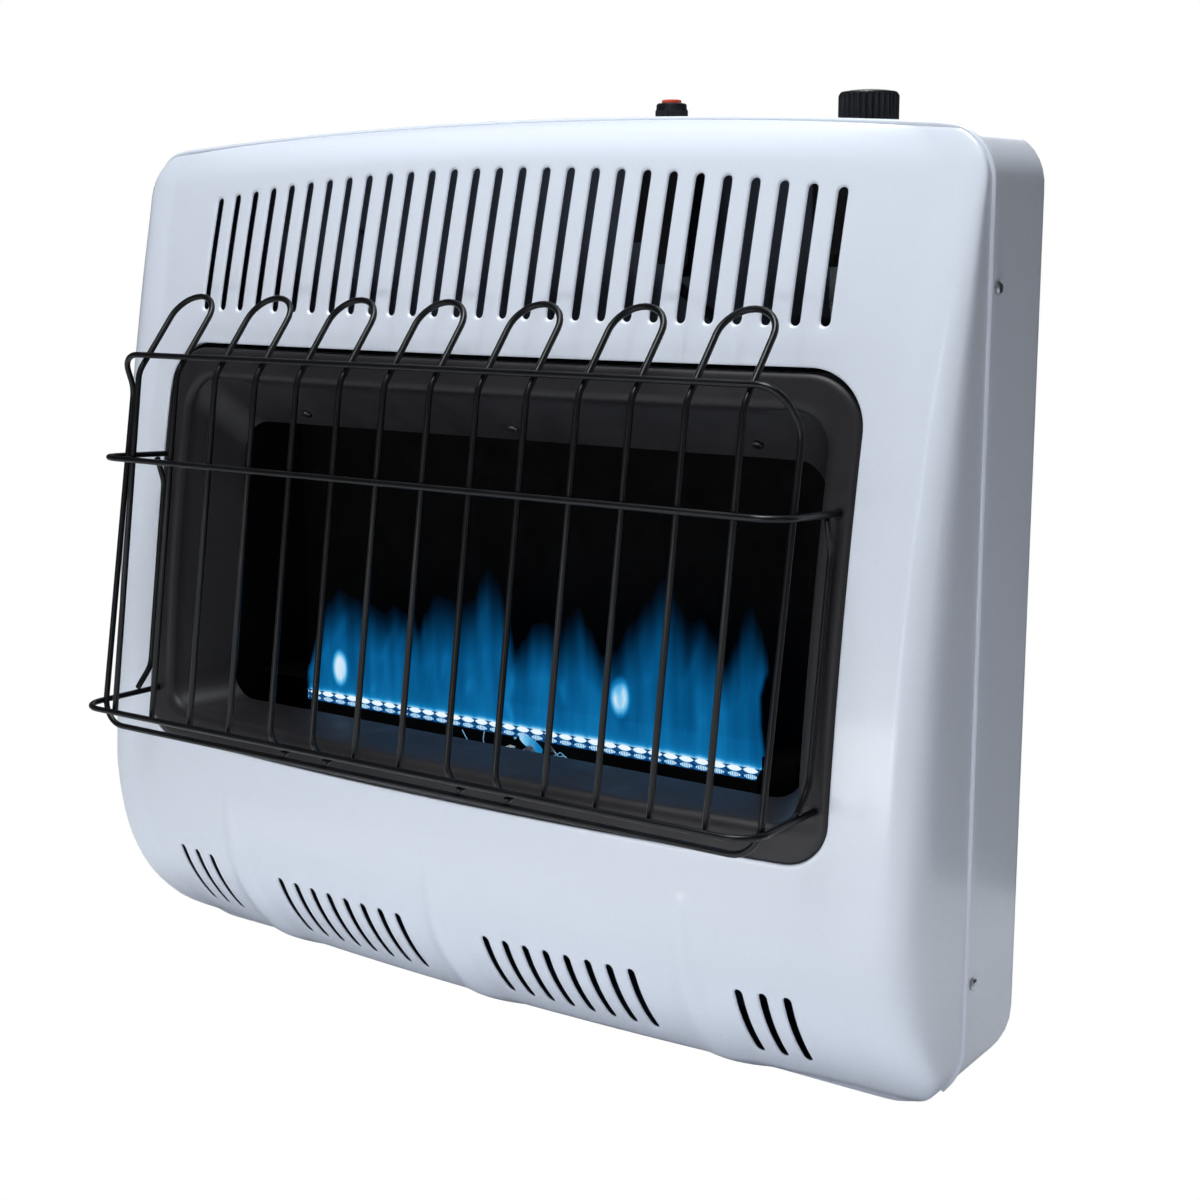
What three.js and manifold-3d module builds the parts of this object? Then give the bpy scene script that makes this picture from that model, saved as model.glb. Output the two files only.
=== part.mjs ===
// Vent-free blue flame propane room heater, hung on a wall.
// Millimetres, +Z up. While the pieces are made, z = 0 is the underside of the casing and y = 0 the wall;
// the room is towards -Y. The finished group is lowered so that its origin is the middle of the wall face.
import * as THREE from 'three';
import { mergeVertices } from 'three/addons/utils/BufferGeometryUtils.js';
import Module from 'manifold-3d';

const wasm = await Module();
wasm.setup();

// Casing
const halfWidth = 343;
const cornerRadius = 30;
const caseDepth = 75;
const topCentre = 611.5;
const topDrop = 6.3;
const sheet = 1.2;
const seat = 0.3;

// Front face of the cover: heights, and how far each lies from the wall
const louverFoot = 488.8;
const reachAtLouvers = 127.5;
const leanAtLouvers = 0.2322;
const windowSill = 174.2;
const reachAtSill = 175.3;
const curlHeight = 141;
const curlRadius = 183;
const planBow = 23.5;

// Window in the cover
const windowBorder = 54.6;
const windowHalf = halfWidth - windowBorder;
const windowHead = 465.1;
const windowTopRadius = 37;
const windowFootRadius = 27;

// Firebox mouth, where the bezel ends
const bezelSlope = 39.4;
const mouthHalf = windowHalf - bezelSlope;
const mouthHead = 406.5;
const mouthSill = 196;
const mouthReachHead = 84;
const mouthReachSill = 110;

// Wire guard
const wire = 4.2;
const uprightMargin = 40.75;
const uprightCount = 14;
const uprightPitch = (2 * (windowHalf - uprightMargin)) / (uprightCount - 1);
const midBarHeight = 387;
const midBarReach = 202.5;
const lowerBarHeight = 209.5;
const lowerBarReach = 230.2;

// Controls on the top of the rear case
const controlReach = 37;
const knobFromSide = 99.5;
const knobPlace = halfWidth - knobFromSide;
const igniterFromKnob = 142.5;
const igniterPlace = knobPlace - igniterFromKnob;
const buttonTravel = 5;

const cutThrough = 20;
const seamY = -caseDepth;
const halfFlat = halfWidth - cornerRadius;
const topEdge = topCentre - topDrop;
const panelFront = -sheet - seat;

// Finishes
const white = finish(0xe2e7ee, 0.22, 0);
const black = finish(0x2b2a2d, 0.55, 0.2);
const soot = finish(0x16161a, 0.7, 0.2);
const wireBlack = finish(0x2e2d33, 0.4, 0.3);
const knobBlack = finish(0x17181c, 0.45, 0);
const buttonRed = finish(0xd75a46, 0.4, 0);
const zinc = finish(0xb4b8bd, 0.35, 0.9);
const aluminium = finish(0xc4c7ca, 0.35, 0.9);
const brass = finish(0xb99a55, 0.35, 0.9);
const ceramic = finish(0xe6e2d8, 0.5, 0);
const copper = finish(0xb26f48, 0.35, 0.9);
const steel = finish(0x8d9196, 0.4, 0.9);
const leadBlack = finish(0x1b1c1f, 0.55, 0);

const heater = new THREE.Group();
heater.name = 'heater';

function finish(color, roughness, metalness) {
  return new THREE.MeshStandardMaterial({ color, roughness, metalness });
}

// A closed geometry as a solid that can be cut and joined.
function solid(geometry) {
  const bare = new THREE.BufferGeometry();
  bare.setAttribute('position', geometry.getAttribute('position'));
  if (geometry.index) bare.setIndex(geometry.index);
  const merged = mergeVertices(bare);
  const corners = merged.index.array;
  const kept = [];
  for (let i = 0; i < corners.length; i += 3) {
    const [a, b, c] = corners.slice(i, i + 3);
    if (a !== b && b !== c && c !== a) kept.push(a, b, c);
  }
  const mesh = new wasm.Mesh({
    numProp: 3,
    vertProperties: new Float32Array(merged.attributes.position.array),
    triVerts: new Uint32Array(kept),
  });
  return new wasm.Manifold(mesh);
}

function surfaceOf(body) {
  const mesh = body.getMesh();
  const places = new Float32Array(mesh.numVert * 3);
  for (let i = 0; i < mesh.numVert; i += 1) {
    places.set(mesh.vertProperties.subarray(i * mesh.numProp, i * mesh.numProp + 3), i * 3);
  }
  const geometry = new THREE.BufferGeometry();
  geometry.setAttribute('position', new THREE.BufferAttribute(places, 3));
  geometry.setIndex(new THREE.BufferAttribute(new Uint32Array(mesh.triVerts), 1));
  const flat = geometry.toNonIndexed();
  flat.computeVertexNormals();
  return flat;
}

function add(name, body, material) {
  const mesh = new THREE.Mesh(body.isBufferGeometry ? body : surfaceOf(body), material);
  mesh.name = name;
  heater.add(mesh);
  return mesh;
}

function joined(first, ...rest) {
  return rest.reduce((sum, piece) => sum.add(piece), first);
}

function cut(body, tools) {
  return tools.reduce((left, tool) => left.subtract(tool), body);
}

function shapeOf(points) {
  return new THREE.Shape(points.map(([across, up]) => new THREE.Vector2(across, up)));
}

// Prisms: an outline drawn square to the named axis, filled from one end to the other along it.
function prism(shape, length) {
  const outline = Array.isArray(shape) ? shapeOf(shape) : shape;
  return new THREE.ExtrudeGeometry(outline, { depth: length, bevelEnabled: false, curveSegments: 6 });
}

function alongX(shape, from, to) {
  const turn = new THREE.Matrix4().set(0, 0, 1, from, 1, 0, 0, 0, 0, 1, 0, 0, 0, 0, 0, 1);
  return solid(prism(shape, to - from).applyMatrix4(turn));
}

function alongY(shape, from, to) {
  return solid(prism(shape, to - from).rotateX(Math.PI / 2).translate(0, to, 0));
}

function alongZ(shape, from, to) {
  return solid(prism(shape, to - from).translate(0, 0, from));
}

function disc(radius, across = 0, up = 0, sides = 16) {
  const points = [];
  for (let i = 0; i < sides; i += 1) {
    const turn = (2 * Math.PI * i) / sides;
    points.push([across + radius * Math.cos(turn), up + radius * Math.sin(turn)]);
  }
  return points;
}

function block(left, right, low, high) {
  return [[left, low], [right, low], [right, high], [left, high]];
}

// A turned piece about a vertical axis: profile pairs of radius and height, closed on the axis.
function turned(profile, x, y, sides = 14) {
  const points = profile.map(([radius, height]) => new THREE.Vector2(radius, height));
  return solid(new THREE.LatheGeometry(points, sides).rotateX(Math.PI / 2).translate(x, y, 0));
}

// A rounded rectangle in x and z, its long runs along X split so that they can follow a bowed face.
function loopPoints(half, head, foot, headRadius, footRadius, arcSteps, runSteps = 1) {
  const points = [];
  const corners = [
    [half - footRadius, foot + footRadius, footRadius, -Math.PI / 2],
    [half - headRadius, head - headRadius, headRadius, 0],
    [headRadius - half, head - headRadius, headRadius, Math.PI / 2],
    [footRadius - half, foot + footRadius, footRadius, Math.PI],
  ];
  corners.forEach(([x, z, radius, start], corner) => {
    for (let i = 0; i <= arcSteps; i += 1) {
      const turn = start + (i / arcSteps) * (Math.PI / 2);
      points.push([x + radius * Math.cos(turn), z + radius * Math.sin(turn)]);
    }
    const [runStart, runEnd] = [x, -x];
    const level = corner === 1 ? head : foot;
    for (let i = 1; i < runSteps && corner % 2 === 1; i += 1) {
      points.push([runStart + ((runEnd - runStart) * i) / runSteps, level]);
    }
  });
  return points;
}

// A bent rod's centre line: straight runs between the listed places, with a ring of the rod at each.
class RodPath extends THREE.Curve {
  constructor(places) {
    super();
    this.places = places;
  }

  getUtoTmapping(u) {
    return u;
  }

  getPoint(t, target = new THREE.Vector3()) {
    const last = this.places.length - 1;
    const index = Math.min(Math.floor(t * last), last - 1);
    return target.lerpVectors(this.places[index], this.places[index + 1], t * last - index);
  }

  getTangent(t, target = new THREE.Vector3()) {
    const last = this.places.length - 1;
    const index = Math.round(t * last);
    const before = this.places[Math.max(index - 1, 0)];
    const here = this.places[index];
    const after = this.places[Math.min(index + 1, last)];
    const arriving = new THREE.Vector3().subVectors(here, before).normalize();
    const leaving = new THREE.Vector3().subVectors(after, here).normalize();
    return target.addVectors(arriving, leaving).normalize();
  }
}

function bentPlaces(corners, bend, bendSteps) {
  const places = [corners[0]];
  for (let i = 1; i < corners.length - 1; i += 1) {
    const back = new THREE.Vector3().subVectors(corners[i - 1], corners[i]);
    const on = new THREE.Vector3().subVectors(corners[i + 1], corners[i]);
    const angle = back.angleTo(on);
    const reach = Math.min(bend / Math.tan(angle / 2), back.length() / 2, on.length() / 2);
    const axis = new THREE.Vector3().crossVectors(on, back).normalize();
    const start = corners[i].clone().addScaledVector(back.normalize(), reach);
    const inward = new THREE.Vector3().addVectors(back, on.normalize()).normalize();
    const centre = corners[i].clone().addScaledVector(inward, reach / Math.cos(angle / 2));
    const spoke = start.sub(centre);
    for (let k = 0; k <= bendSteps; k += 1) {
      const turn = ((Math.PI - angle) * k) / bendSteps;
      places.push(spoke.clone().applyAxisAngle(axis, turn).add(centre));
    }
  }
  places.push(corners[corners.length - 1]);
  return places.filter((place, i) => i === 0 || place.distanceTo(places[i - 1]) > seat / 10);
}

function rod(corners, diameter, bend, bendSteps = 3, sides = 6) {
  const section = shapeOf(disc(diameter / 2, 0, 0, sides));
  const vectors = corners.map(([x, y, z]) => new THREE.Vector3(x, y, z));
  const path = new RodPath(bentPlaces(vectors, bend, bendSteps));
  const steps = path.places.length - 1;
  return solid(new THREE.ExtrudeGeometry(section, { steps, extrudePath: path, bevelEnabled: false }));
}

// How far the middle of the front face stands from the wall at a height, with its lean and lower curl.
function faceAt(z) {
  const drop = windowSill - louverFoot;
  const curve = (reachAtLouvers - reachAtSill - leanAtLouvers * drop) / (drop * drop);
  const level = Math.max(z, curlHeight) - louverFoot;
  const y = -reachAtLouvers + leanAtLouvers * level + curve * level * level;
  const below = Math.max(curlHeight - z, 0);
  return y + curlRadius - Math.sqrt(curlRadius * curlRadius - below * below);
}

function frontY(x, z) {
  return faceAt(z) + planBow * (x / halfWidth) ** 2;
}

function archedTop(x) {
  return topEdge + topDrop * Math.max(1 - (x / halfFlat) ** 2, 0);
}

// Front cover: a bowed sheet drawn forward from the seam, with pressed ribs on its curled foot.
const edgeRadius = 35;
const topFillet = 24;
const footFillet = 14;
const footTuck = 20;
const ribFromSide = 148;
const ribPlace = halfWidth - ribFromSide;
const ribRise = 4.5;
const ribHead = 145;
const ribHeadHalf = 8;
const ribFootHalf = 24;
const cornerSteps = 4;
const archSteps = 8;
const windowReturn = 6;
const windowArcSteps = 5;
const louverCount = 28;
const louverMargin = 85.825;
const louverPitch = (2 * (halfWidth - louverMargin)) / (louverCount - 1);
const louverWidth = 6.35;
const louverHead = 585.2;
const louverHeadDrop = 16.1;
const slotWidth = 5.5;
const slotPitch = 16.4;
const slotFoot = 41.5;
const slotHead = 83;
const slotRise = 6;
const innerSlotOff = 156.5;
const innerSlotStart = ribPlace - innerSlotOff;
const innerSlotCount = 8;
const outerSlotOff = 34.5;
const outerSlotStart = ribPlace + outerSlotOff;
const outerSlotCount = 3;
const tabDepth = 19;
const tabHeight = 42;
const upperScrewHeight = 511;
const lowerScrewHeight = 85;
const screwReach = 64.5;

function ribRiseAt(x, z) {
  const share = Math.min(Math.max(1 - z / ribHead, 0), 1);
  const half = ribHeadHalf + (ribFootHalf - ribHeadHalf) * share;
  const off = Math.min(...[-ribPlace, 0, ribPlace].map((middle) => Math.abs(x - middle)));
  if (off >= half || share === 0) return 0;
  return ribRise * Math.sqrt(share) * (1 + Math.cos((Math.PI * off) / half)) / 2;
}

function quarterEase(share) {
  const left = Math.max(1 - share, 0);
  return 1 - Math.sqrt(1 - left * left);
}

function coverY(x, z, inset) {
  let y = frontY(x, z) + inset - ribRiseAt(x, z);
  y += footTuck * quarterEase((z - inset) / footFillet);
  const depth = archedTop(x) - inset - z;
  return y + (seamY - y) * quarterEase(depth / topFillet);
}

// Heights of the cover's rows, each with the half width that the rounded outline has there.
function coverRows(inset) {
  const radius = cornerRadius - inset;
  const rows = [];
  for (let i = 0; i <= cornerSteps; i += 1) {
    const turn = (i / cornerSteps) * (Math.PI / 2);
    rows.push({ z: cornerRadius - radius * Math.cos(turn), half: halfFlat + radius * Math.sin(turn) });
  }
  const bands = [[cornerRadius, curlHeight, 4], [curlHeight, louverFoot, 4],
    [louverFoot, topEdge - cornerRadius, 1]];
  for (const [low, high, count] of bands) {
    for (let i = 1; i <= count; i += 1) {
      rows.push({ z: low + ((high - low) * i) / count, half: halfFlat + radius });
    }
  }
  for (let i = 1; i <= cornerSteps; i += 1) {
    const turn = (i / cornerSteps) * (Math.PI / 2);
    const z = topEdge - cornerRadius + radius * Math.sin(turn);
    rows.push({ z, half: halfFlat + radius * Math.cos(turn) });
  }
  return rows;
}

function columnPlaces() {
  const spreads = [-1, 0, 1].map((share) => ribPlace + share * ribFootHalf);
  return [0, ribFootHalf, ribPlace / 2, ...spreads, (ribPlace + halfFlat) / 2];
}

// The cover filled in as far back as the given plane, at an inset from its outer skin.
function filledCover(inset, back) {
  const places = columnPlaces();
  const rings = coverRows(inset).map(({ z: endHeight, half }) => {
    const share = Math.max((endHeight - louverFoot) / (topEdge - louverFoot), 0);
    const cornerX = half - (edgeRadius - inset);
    const right = [...places, cornerX].map((x) => {
      const lift = (archedTop(x) - topEdge) * share * share;
      const z = endHeight + lift;
      return [x, coverY(x, z, inset), z];
    });
    const [, cornerY] = right[right.length - 1];
    const deep = Math.min(edgeRadius - inset, seamY - cornerY);
    for (let i = 1; i <= cornerSteps - 1; i += 1) {
      const turn = (i / (cornerSteps - 1)) * (Math.PI / 2);
      const x = cornerX + (edgeRadius - inset) * Math.sin(turn);
      right.push([x, cornerY + deep * (1 - Math.cos(turn)), endHeight]);
    }
    right.push([half, back, endHeight]);
    const left = right.slice(1).reverse().map(([x, y, z]) => [-x, y, z]);
    return [...left, ...right];
  });
  return filledRings(rings, back);
}

// Rings of equal count, each closed by its own shadow on the back plane, stacked into one solid.
function filledRings(rings, back) {
  const places = [];
  const count = rings[0].length;
  for (const ring of rings) {
    places.push(...ring.flat());
    places.push(...ring.map(([x, , z]) => [x, back, z]).flat());
  }
  const at = (row, column, behind) => row * 2 * count + (behind ? count : 0) + column;
  const corners = [];
  const quad = (a, b, c, d) => corners.push(a, b, c, a, c, d);
  for (let row = 0; row < rings.length - 1; row += 1) {
    for (let i = 0; i < count - 1; i += 1) {
      quad(at(row, i, 0), at(row, i + 1, 0), at(row + 1, i + 1, 0), at(row + 1, i, 0));
      quad(at(row, i + 1, 1), at(row, i, 1), at(row + 1, i, 1), at(row + 1, i + 1, 1));
    }
  }
  const top = rings.length - 1;
  for (let i = 0; i < count - 1; i += 1) {
    quad(at(0, i + 1, 0), at(0, i, 0), at(0, i, 1), at(0, i + 1, 1));
    quad(at(top, i, 0), at(top, i + 1, 0), at(top, i + 1, 1), at(top, i, 1));
  }
  const geometry = new THREE.BufferGeometry();
  geometry.setAttribute('position', new THREE.BufferAttribute(new Float32Array(places), 3));
  geometry.setIndex(corners);
  return solid(geometry);
}

// A slot with round ends, upright.
function stadium(x, low, high, width, arcSteps = 2) {
  const radius = width / 2;
  const points = [];
  for (let i = 0; i <= arcSteps; i += 1) {
    const turn = Math.PI + (i / arcSteps) * Math.PI;
    points.push([x + radius * Math.cos(turn), low + radius + radius * Math.sin(turn)]);
  }
  for (let i = 0; i <= arcSteps; i += 1) {
    const turn = (i / arcSteps) * Math.PI;
    points.push([x + radius * Math.cos(turn), high - radius + radius * Math.sin(turn)]);
  }
  return points;
}

function windowLoop(inset) {
  return loopPoints(windowHalf - inset, windowHead - inset, windowSill + inset,
    windowTopRadius - inset, windowFootRadius - inset, windowArcSteps);
}

function coverOpenings() {
  const front = -reachAtSill - cutThrough;
  const openings = [windowLoop(0)];
  for (let i = 0; i < louverCount; i += 1) {
    const x = (i - (louverCount - 1) / 2) * louverPitch;
    const widest = ((louverCount - 1) / 2) * louverPitch;
    openings.push(stadium(x, louverFoot, louverHead - louverHeadDrop * (x / widest) ** 2, louverWidth));
  }
  const groups = [[innerSlotStart, innerSlotCount], [outerSlotStart, outerSlotCount]];
  for (const [start, count] of groups) {
    for (let i = 0; i < count; i += 1) {
      const x = start + i * slotPitch;
      const lift = slotRise * (x / ribPlace) ** 2 / 2;
      openings.push(stadium(x, slotFoot + lift / 2, slotHead + lift, slotWidth));
      openings.push(stadium(-x, slotFoot + lift / 2, slotHead + lift, slotWidth));
    }
  }
  return openings.map((outline) => alongY(outline, front, seamY));
}

// Screw tabs bent back from the cover's side edges, which slide inside the rear case.
function coverTab(side, height) {
  const outer = halfWidth - sheet - seat;
  const plan = [[side * outer, seamY + tabDepth], [side * (outer - sheet), seamY + tabDepth],
    [side * (outer - sheet), seamY - sheet], [side * (halfWidth - sheet / 2), seamY - sheet],
    [side * (halfWidth - sheet / 2), seamY], [side * outer, seamY]];
  return alongZ(plan, height - tabHeight / 2, height + tabHeight / 2);
}

function frontCover() {
  const skin = filledCover(0, seamY).subtract(filledCover(sheet, seamY + sheet));
  const lip = alongY(windowLoop(-sheet), -reachAtSill - cutThrough, seamY)
    .intersect(filledCover(0, seamY))
    .subtract(filledCover(0, seamY).translate([0, windowReturn, 0]));
  const tabs = [-1, 1].flatMap((side) => [coverTab(side, upperScrewHeight), coverTab(side, lowerScrewHeight)]);
  const holes = [upperScrewHeight, lowerScrewHeight].map((height) => screwHole(height, screwCore));
  return cut(joined(skin, lip, ...tabs), [...coverOpenings(), ...holes]);
}

// Screws through the sides: a pan head outside, a shank through case and tab.
const screwHead = 8;
const screwHeadHeight = 2.2;
const screwShank = 3.9;
const screwLength = 9;
const screwStandOff = 0.9;
const screwCore = screwShank + 2 * seat;

function screwHole(height, diameter) {
  return alongX(disc(diameter / 2, -screwReach, height, 12), -halfWidth - sheet, halfWidth + sheet);
}

function panHeadScrew(headSides = 8) {
  const half = screwHead / 2;
  const profile = [[0, -screwLength], [screwShank / 2, -screwLength], [screwShank / 2, 0], [half, 0],
    [half, screwHeadHeight / 2], [half * Math.SQRT1_2, screwHeadHeight], [0, screwHeadHeight]];
  return turned(profile, 0, 0, headSides);
}

add('front_cover', frontCover(), white);
for (const [level, height] of [['upper', upperScrewHeight], ['lower', lowerScrewHeight]]) {
  for (const [hand, side] of [['left', -1], ['right', 1]]) {
    const screw = add(`side_screw_${level}_${hand}`, panHeadScrew(), zinc);
    screw.rotation.y = (side * Math.PI) / 2;
    screw.position.set(side * (halfWidth + seat), -screwReach, height);
  }
}

// Rear case: top, sides and underside in one wrap behind the seam.
const knobRadius = 20.7;
const knobHoleGap = 1.3;
const igniterBarrel = 16;
const inletHole = 30;
const inletFromKnob = 11.5;
const inletPlace = knobPlace + inletFromKnob;
const inletReach = 40;

function caseOutline(inset) {
  const radius = cornerRadius - inset;
  const points = [];
  const arc = (x, z, start) => {
    for (let i = 0; i <= cornerSteps; i += 1) {
      const turn = start + (i / cornerSteps) * (Math.PI / 2);
      points.push([x + radius * Math.cos(turn), z + radius * Math.sin(turn)]);
    }
  };
  arc(-halfFlat, cornerRadius, Math.PI);
  arc(halfFlat, cornerRadius, -Math.PI / 2);
  arc(halfFlat, topEdge - cornerRadius, 0);
  for (let i = 1; i < archSteps; i += 1) {
    const x = halfFlat * (1 - (2 * i) / archSteps);
    points.push([x, archedTop(x) - inset]);
  }
  arc(-halfFlat, topEdge - cornerRadius, Math.PI / 2);
  return points;
}

function rearCase() {
  const wrap = alongY(caseOutline(0), seamY + seat, panelFront)
    .subtract(alongY(caseOutline(sheet), seamY - sheet, 0));
  const above = topCentre + cutThrough;
  const holes = [
    alongZ(disc(knobRadius + knobHoleGap, knobPlace, -controlReach, 28), topEdge - cornerRadius, above),
    alongZ(disc(igniterBarrel / 2 + seat, igniterPlace, -controlReach, 20), topEdge - cornerRadius, above),
    alongZ(disc(inletHole / 2, inletPlace, -inletReach, 20), -cutThrough, cornerRadius),
    screwHole(upperScrewHeight, screwShank + 2 * seat),
    screwHole(lowerScrewHeight, screwShank + 2 * seat),
  ];
  return cut(wrap, holes);
}

add('rear_case', rearCase(), white);

// Back panel with two hanging keyholes, one stud spacing apart, and a row of air slots.
const studFromSide = 140;
const studHalf = halfWidth - studFromSide;
const keyholeHeight = 520;
const keyholeWide = 13;
const keyholeNarrow = 6;
const keyholeRise = 18;
const backSlotHalf = 60;
const backSlotHeight = 8;
const backSlotPitch = 24;
const backSlotRows = 4;
const backSlotLow = 62;

function backPanel() {
  const plate = alongY(caseOutline(0), -sheet, 0);
  const front = -sheet - cutThrough;
  const holes = [-studHalf, studHalf].flatMap((x) => [
    alongY(disc(keyholeWide / 2, x, keyholeHeight, 18), front, cutThrough),
    alongY(stadium(x, keyholeHeight, keyholeHeight + keyholeRise, keyholeNarrow), front, cutThrough),
  ]);
  for (let i = 0; i < backSlotRows; i += 1) {
    const z = backSlotLow + i * backSlotPitch;
    for (const x of [-studHalf, 0, studHalf]) {
      holes.push(alongY(block(x - backSlotHalf, x + backSlotHalf, z, z + backSlotHeight), front, cutThrough));
    }
  }
  return cut(plate, holes);
}

add('back_panel', backPanel(), white);

// Bezel: a pan pressed from one sheet, from a turned-back rim through a flange to the firebox mouth.
const rimGap = 1;
const rimHeadGap = 4.6;
const rimDepth = 14;
const rimRound = 3;
const flangeWidth = 14;
const flangeFall = 2;
const wallRound = 6;
const bezelArcSteps = 5;
const bezelRunSteps = 6;
const guardHoleGap = 0.7;
const guardLegInset = 8.9;
const guardLegHalf = windowHalf - guardLegInset;
const midHoleHeight = 382.5;
const lowerHoleHeight = 208.5;
const mouthRadius = 24;

function mouthY(z) {
  const lean = (mouthReachSill - mouthReachHead) / (mouthHead - mouthSill);
  return -mouthReachSill + lean * (z - mouthSill);
}

// One ring of the pan: set in from the rim by an amount, at a depth behind the cover's front face.
function bezelRing(inset, depth, grow) {
  const radiusTop = windowTopRadius - rimGap - inset / 2 + grow;
  const radiusFoot = windowFootRadius - rimGap - inset / 3 + grow;
  const loop = loopPoints(windowHalf - rimGap - inset + grow, windowHead - rimHeadGap - inset + grow,
    windowSill + rimGap + inset - grow, radiusTop, radiusFoot, bezelArcSteps, bezelRunSteps);
  return loop.map(([x, z]) => [x, frontY(x, z) + depth, z]);
}

function mouthRing(grow, depth) {
  const loop = loopPoints(mouthHalf + grow, mouthHead + grow, mouthSill - grow,
    mouthRadius + grow, mouthRadius + grow, bezelArcSteps, bezelRunSteps);
  return loop.map(([x, z]) => [x, mouthY(z) + depth, z]);
}

function bezel() {
  const inner = flangeWidth + wallRound;
  const rings = [
    bezelRing(0, rimDepth, 0),
    bezelRing(0, rimRound, 0),
    bezelRing(rimRound, flangeFall / 2, 0),
    bezelRing(flangeWidth, flangeFall, 0),
    bezelRing(inner, flangeFall + wallRound, 0),
    mouthRing(0, 0),
    mouthRing(sheet, 0),
    bezelRing(inner, flangeFall + wallRound + sheet, sheet / 2),
    bezelRing(flangeWidth, flangeFall + sheet, 0),
    bezelRing(rimRound + sheet / 2, flangeFall / 2 + sheet, 0),
    bezelRing(sheet, rimRound + sheet / 2, 0),
    bezelRing(sheet, rimDepth, 0),
  ];
  const pan = solid(ringLoop(rings));
  const holes = [];
  for (const side of [-1, 1]) {
    for (const height of [midHoleHeight, lowerHoleHeight]) {
      const hole = disc(wire / 2 + guardHoleGap, side * guardLegHalf, height, 14);
      holes.push(alongY(hole, -reachAtSill - cutThrough, seamY));
    }
  }
  for (const x of bezelScrewPlaces) {
    const hole = disc(screwShank / 2 + seat, x, bezelScrewHeight, 12);
    holes.push(alongY(hole, -reachAtSill - cutThrough, 0));
  }
  return cut(pan, holes);
}

// Closed loops of equal count, joined in turn and back to the first: one closed skin.
// The facets' diagonals mirror each other left and right.
function ringLoop(rings) {
  const count = rings[0].length;
  const geometry = new THREE.BufferGeometry();
  geometry.setAttribute('position', new THREE.BufferAttribute(new Float32Array(rings.flat(2)), 3));
  const corners = [];
  rings.forEach((ring, row) => {
    const next = (row + 1) % rings.length;
    for (let i = 0; i < count; i += 1) {
      const j = (i + 1) % count;
      const [a, b, c, d] = [row * count + i, row * count + j, next * count + j, next * count + i];
      const leftHand = ring[i][0] + ring[j][0] < 0;
      if (leftHand) corners.push(a, b, d, b, c, d);
      else corners.push(a, b, c, a, c, d);
    }
  });
  geometry.setIndex(corners);
  return geometry;
}

const bezelScrewShares = [-0.703, 0.06, 0.815];
const bezelScrewPlaces = bezelScrewShares.map((share) => share * mouthHalf);
const bezelScrewHeight = 416;

add('bezel', bezel(), black);

// Wire guard: a perimeter loop, two bars whose legs spring into the bezel, a stile from leg to leg at each
// side, and seven hoops.
const wireStep = wire + seat;
const leanBelowHead = 17.1;
const leanHeight = windowHead - leanBelowHead;
const hoopReach = 144;
const hoopRise = 51.5;
const hoopHeight = leanHeight + hoopRise;
const loopTopRise = 11.5;
const loopTopHeight = leanHeight + loopTopRise;
const loopTopInset = 11.5;
const loopTopHalf = guardLegHalf - loopTopInset;
const loopJogDrop = 14;
const loopJogHeight = leanHeight - loopJogDrop;
const loopJogBack = 32.5;
const loopJogReach = midBarReach - loopJogBack;
const loopFootHeight = 194;
const loopFootBack = 17.2;
const loopFootReach = lowerBarReach - loopFootBack;
const guardBend = 19;
const legGrip = 8;
const hookBack = 8;
const hookFront = 1.5;
const hookReach = loopFootReach - hookBack;
const hookEnd = loopFootReach + hookFront;
const overlap = 1;
const hookedHoops = [3, 5];
const stileHeadOut = 13.3;
const stileFootOut = 19.7;
const stileHeadDrop = 20.5;
const stileFootRise = 18;
const stileHeadStand = 4;
const stileFootStand = 7.3;

function uprightY(z) {
  const share = (z - lowerBarHeight) / (midBarHeight - lowerBarHeight);
  return wireStep - lowerBarReach + (lowerBarReach - midBarReach) * share;
}

function guardBar(height, reach, holeHeight) {
  const legEnd = frontY(guardLegHalf, holeHeight) + flangeFall + legGrip;
  return rod([[-guardLegHalf, legEnd, holeHeight], [-guardLegHalf, -reach, height],
    [guardLegHalf, -reach, height], [guardLegHalf, legEnd, holeHeight]], wire, guardBend);
}

function guardLoop() {
  const lean = Math.atan2(-hoopReach - uprightY(leanHeight), hoopHeight - leanHeight);
  const uprightThere = uprightY(leanHeight) + (loopTopHeight - leanHeight) * Math.tan(lean);
  const topY = uprightThere - wireStep / Math.cos(lean);
  const sideHalf = guardLegHalf - wireStep;
  const half = (side) => rod([[-side * overlap, topY, loopTopHeight],
    [side * loopTopHalf, topY, loopTopHeight], [side * sideHalf, -loopJogReach, loopJogHeight],
    [side * sideHalf, -loopFootReach, loopFootHeight], [-side * overlap, -loopFootReach, loopFootHeight]],
  wire, guardBend);
  return joined(half(1), half(-1));
}

// One hoop: up from the lower bar, back over the cover, and down again one pitch further on.
function guardHoop(number) {
  const left = (2 * number - 1 - uprightCount / 2) * uprightPitch - uprightPitch / 2;
  const rise = (x) => [[x, uprightY(leanHeight), leanHeight], [x, -hoopReach, hoopHeight]];
  const foot = (x) => {
    if (!hookedHoops.includes(number)) {
      return [[x, uprightY(lowerBarHeight - wire / 2), lowerBarHeight - wire / 2]];
    }
    const lie = loopFootHeight + wireStep;
    return [[x, -hookEnd, lie], [x, -hookReach, lie + seat], [x, uprightY(lowerBarHeight), lowerBarHeight]];
  };
  const right = left + uprightPitch;
  return rod([...foot(left), ...rise(left), ...rise(right).reverse(), ...foot(right).reverse()], wire, guardBend);
}

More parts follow.
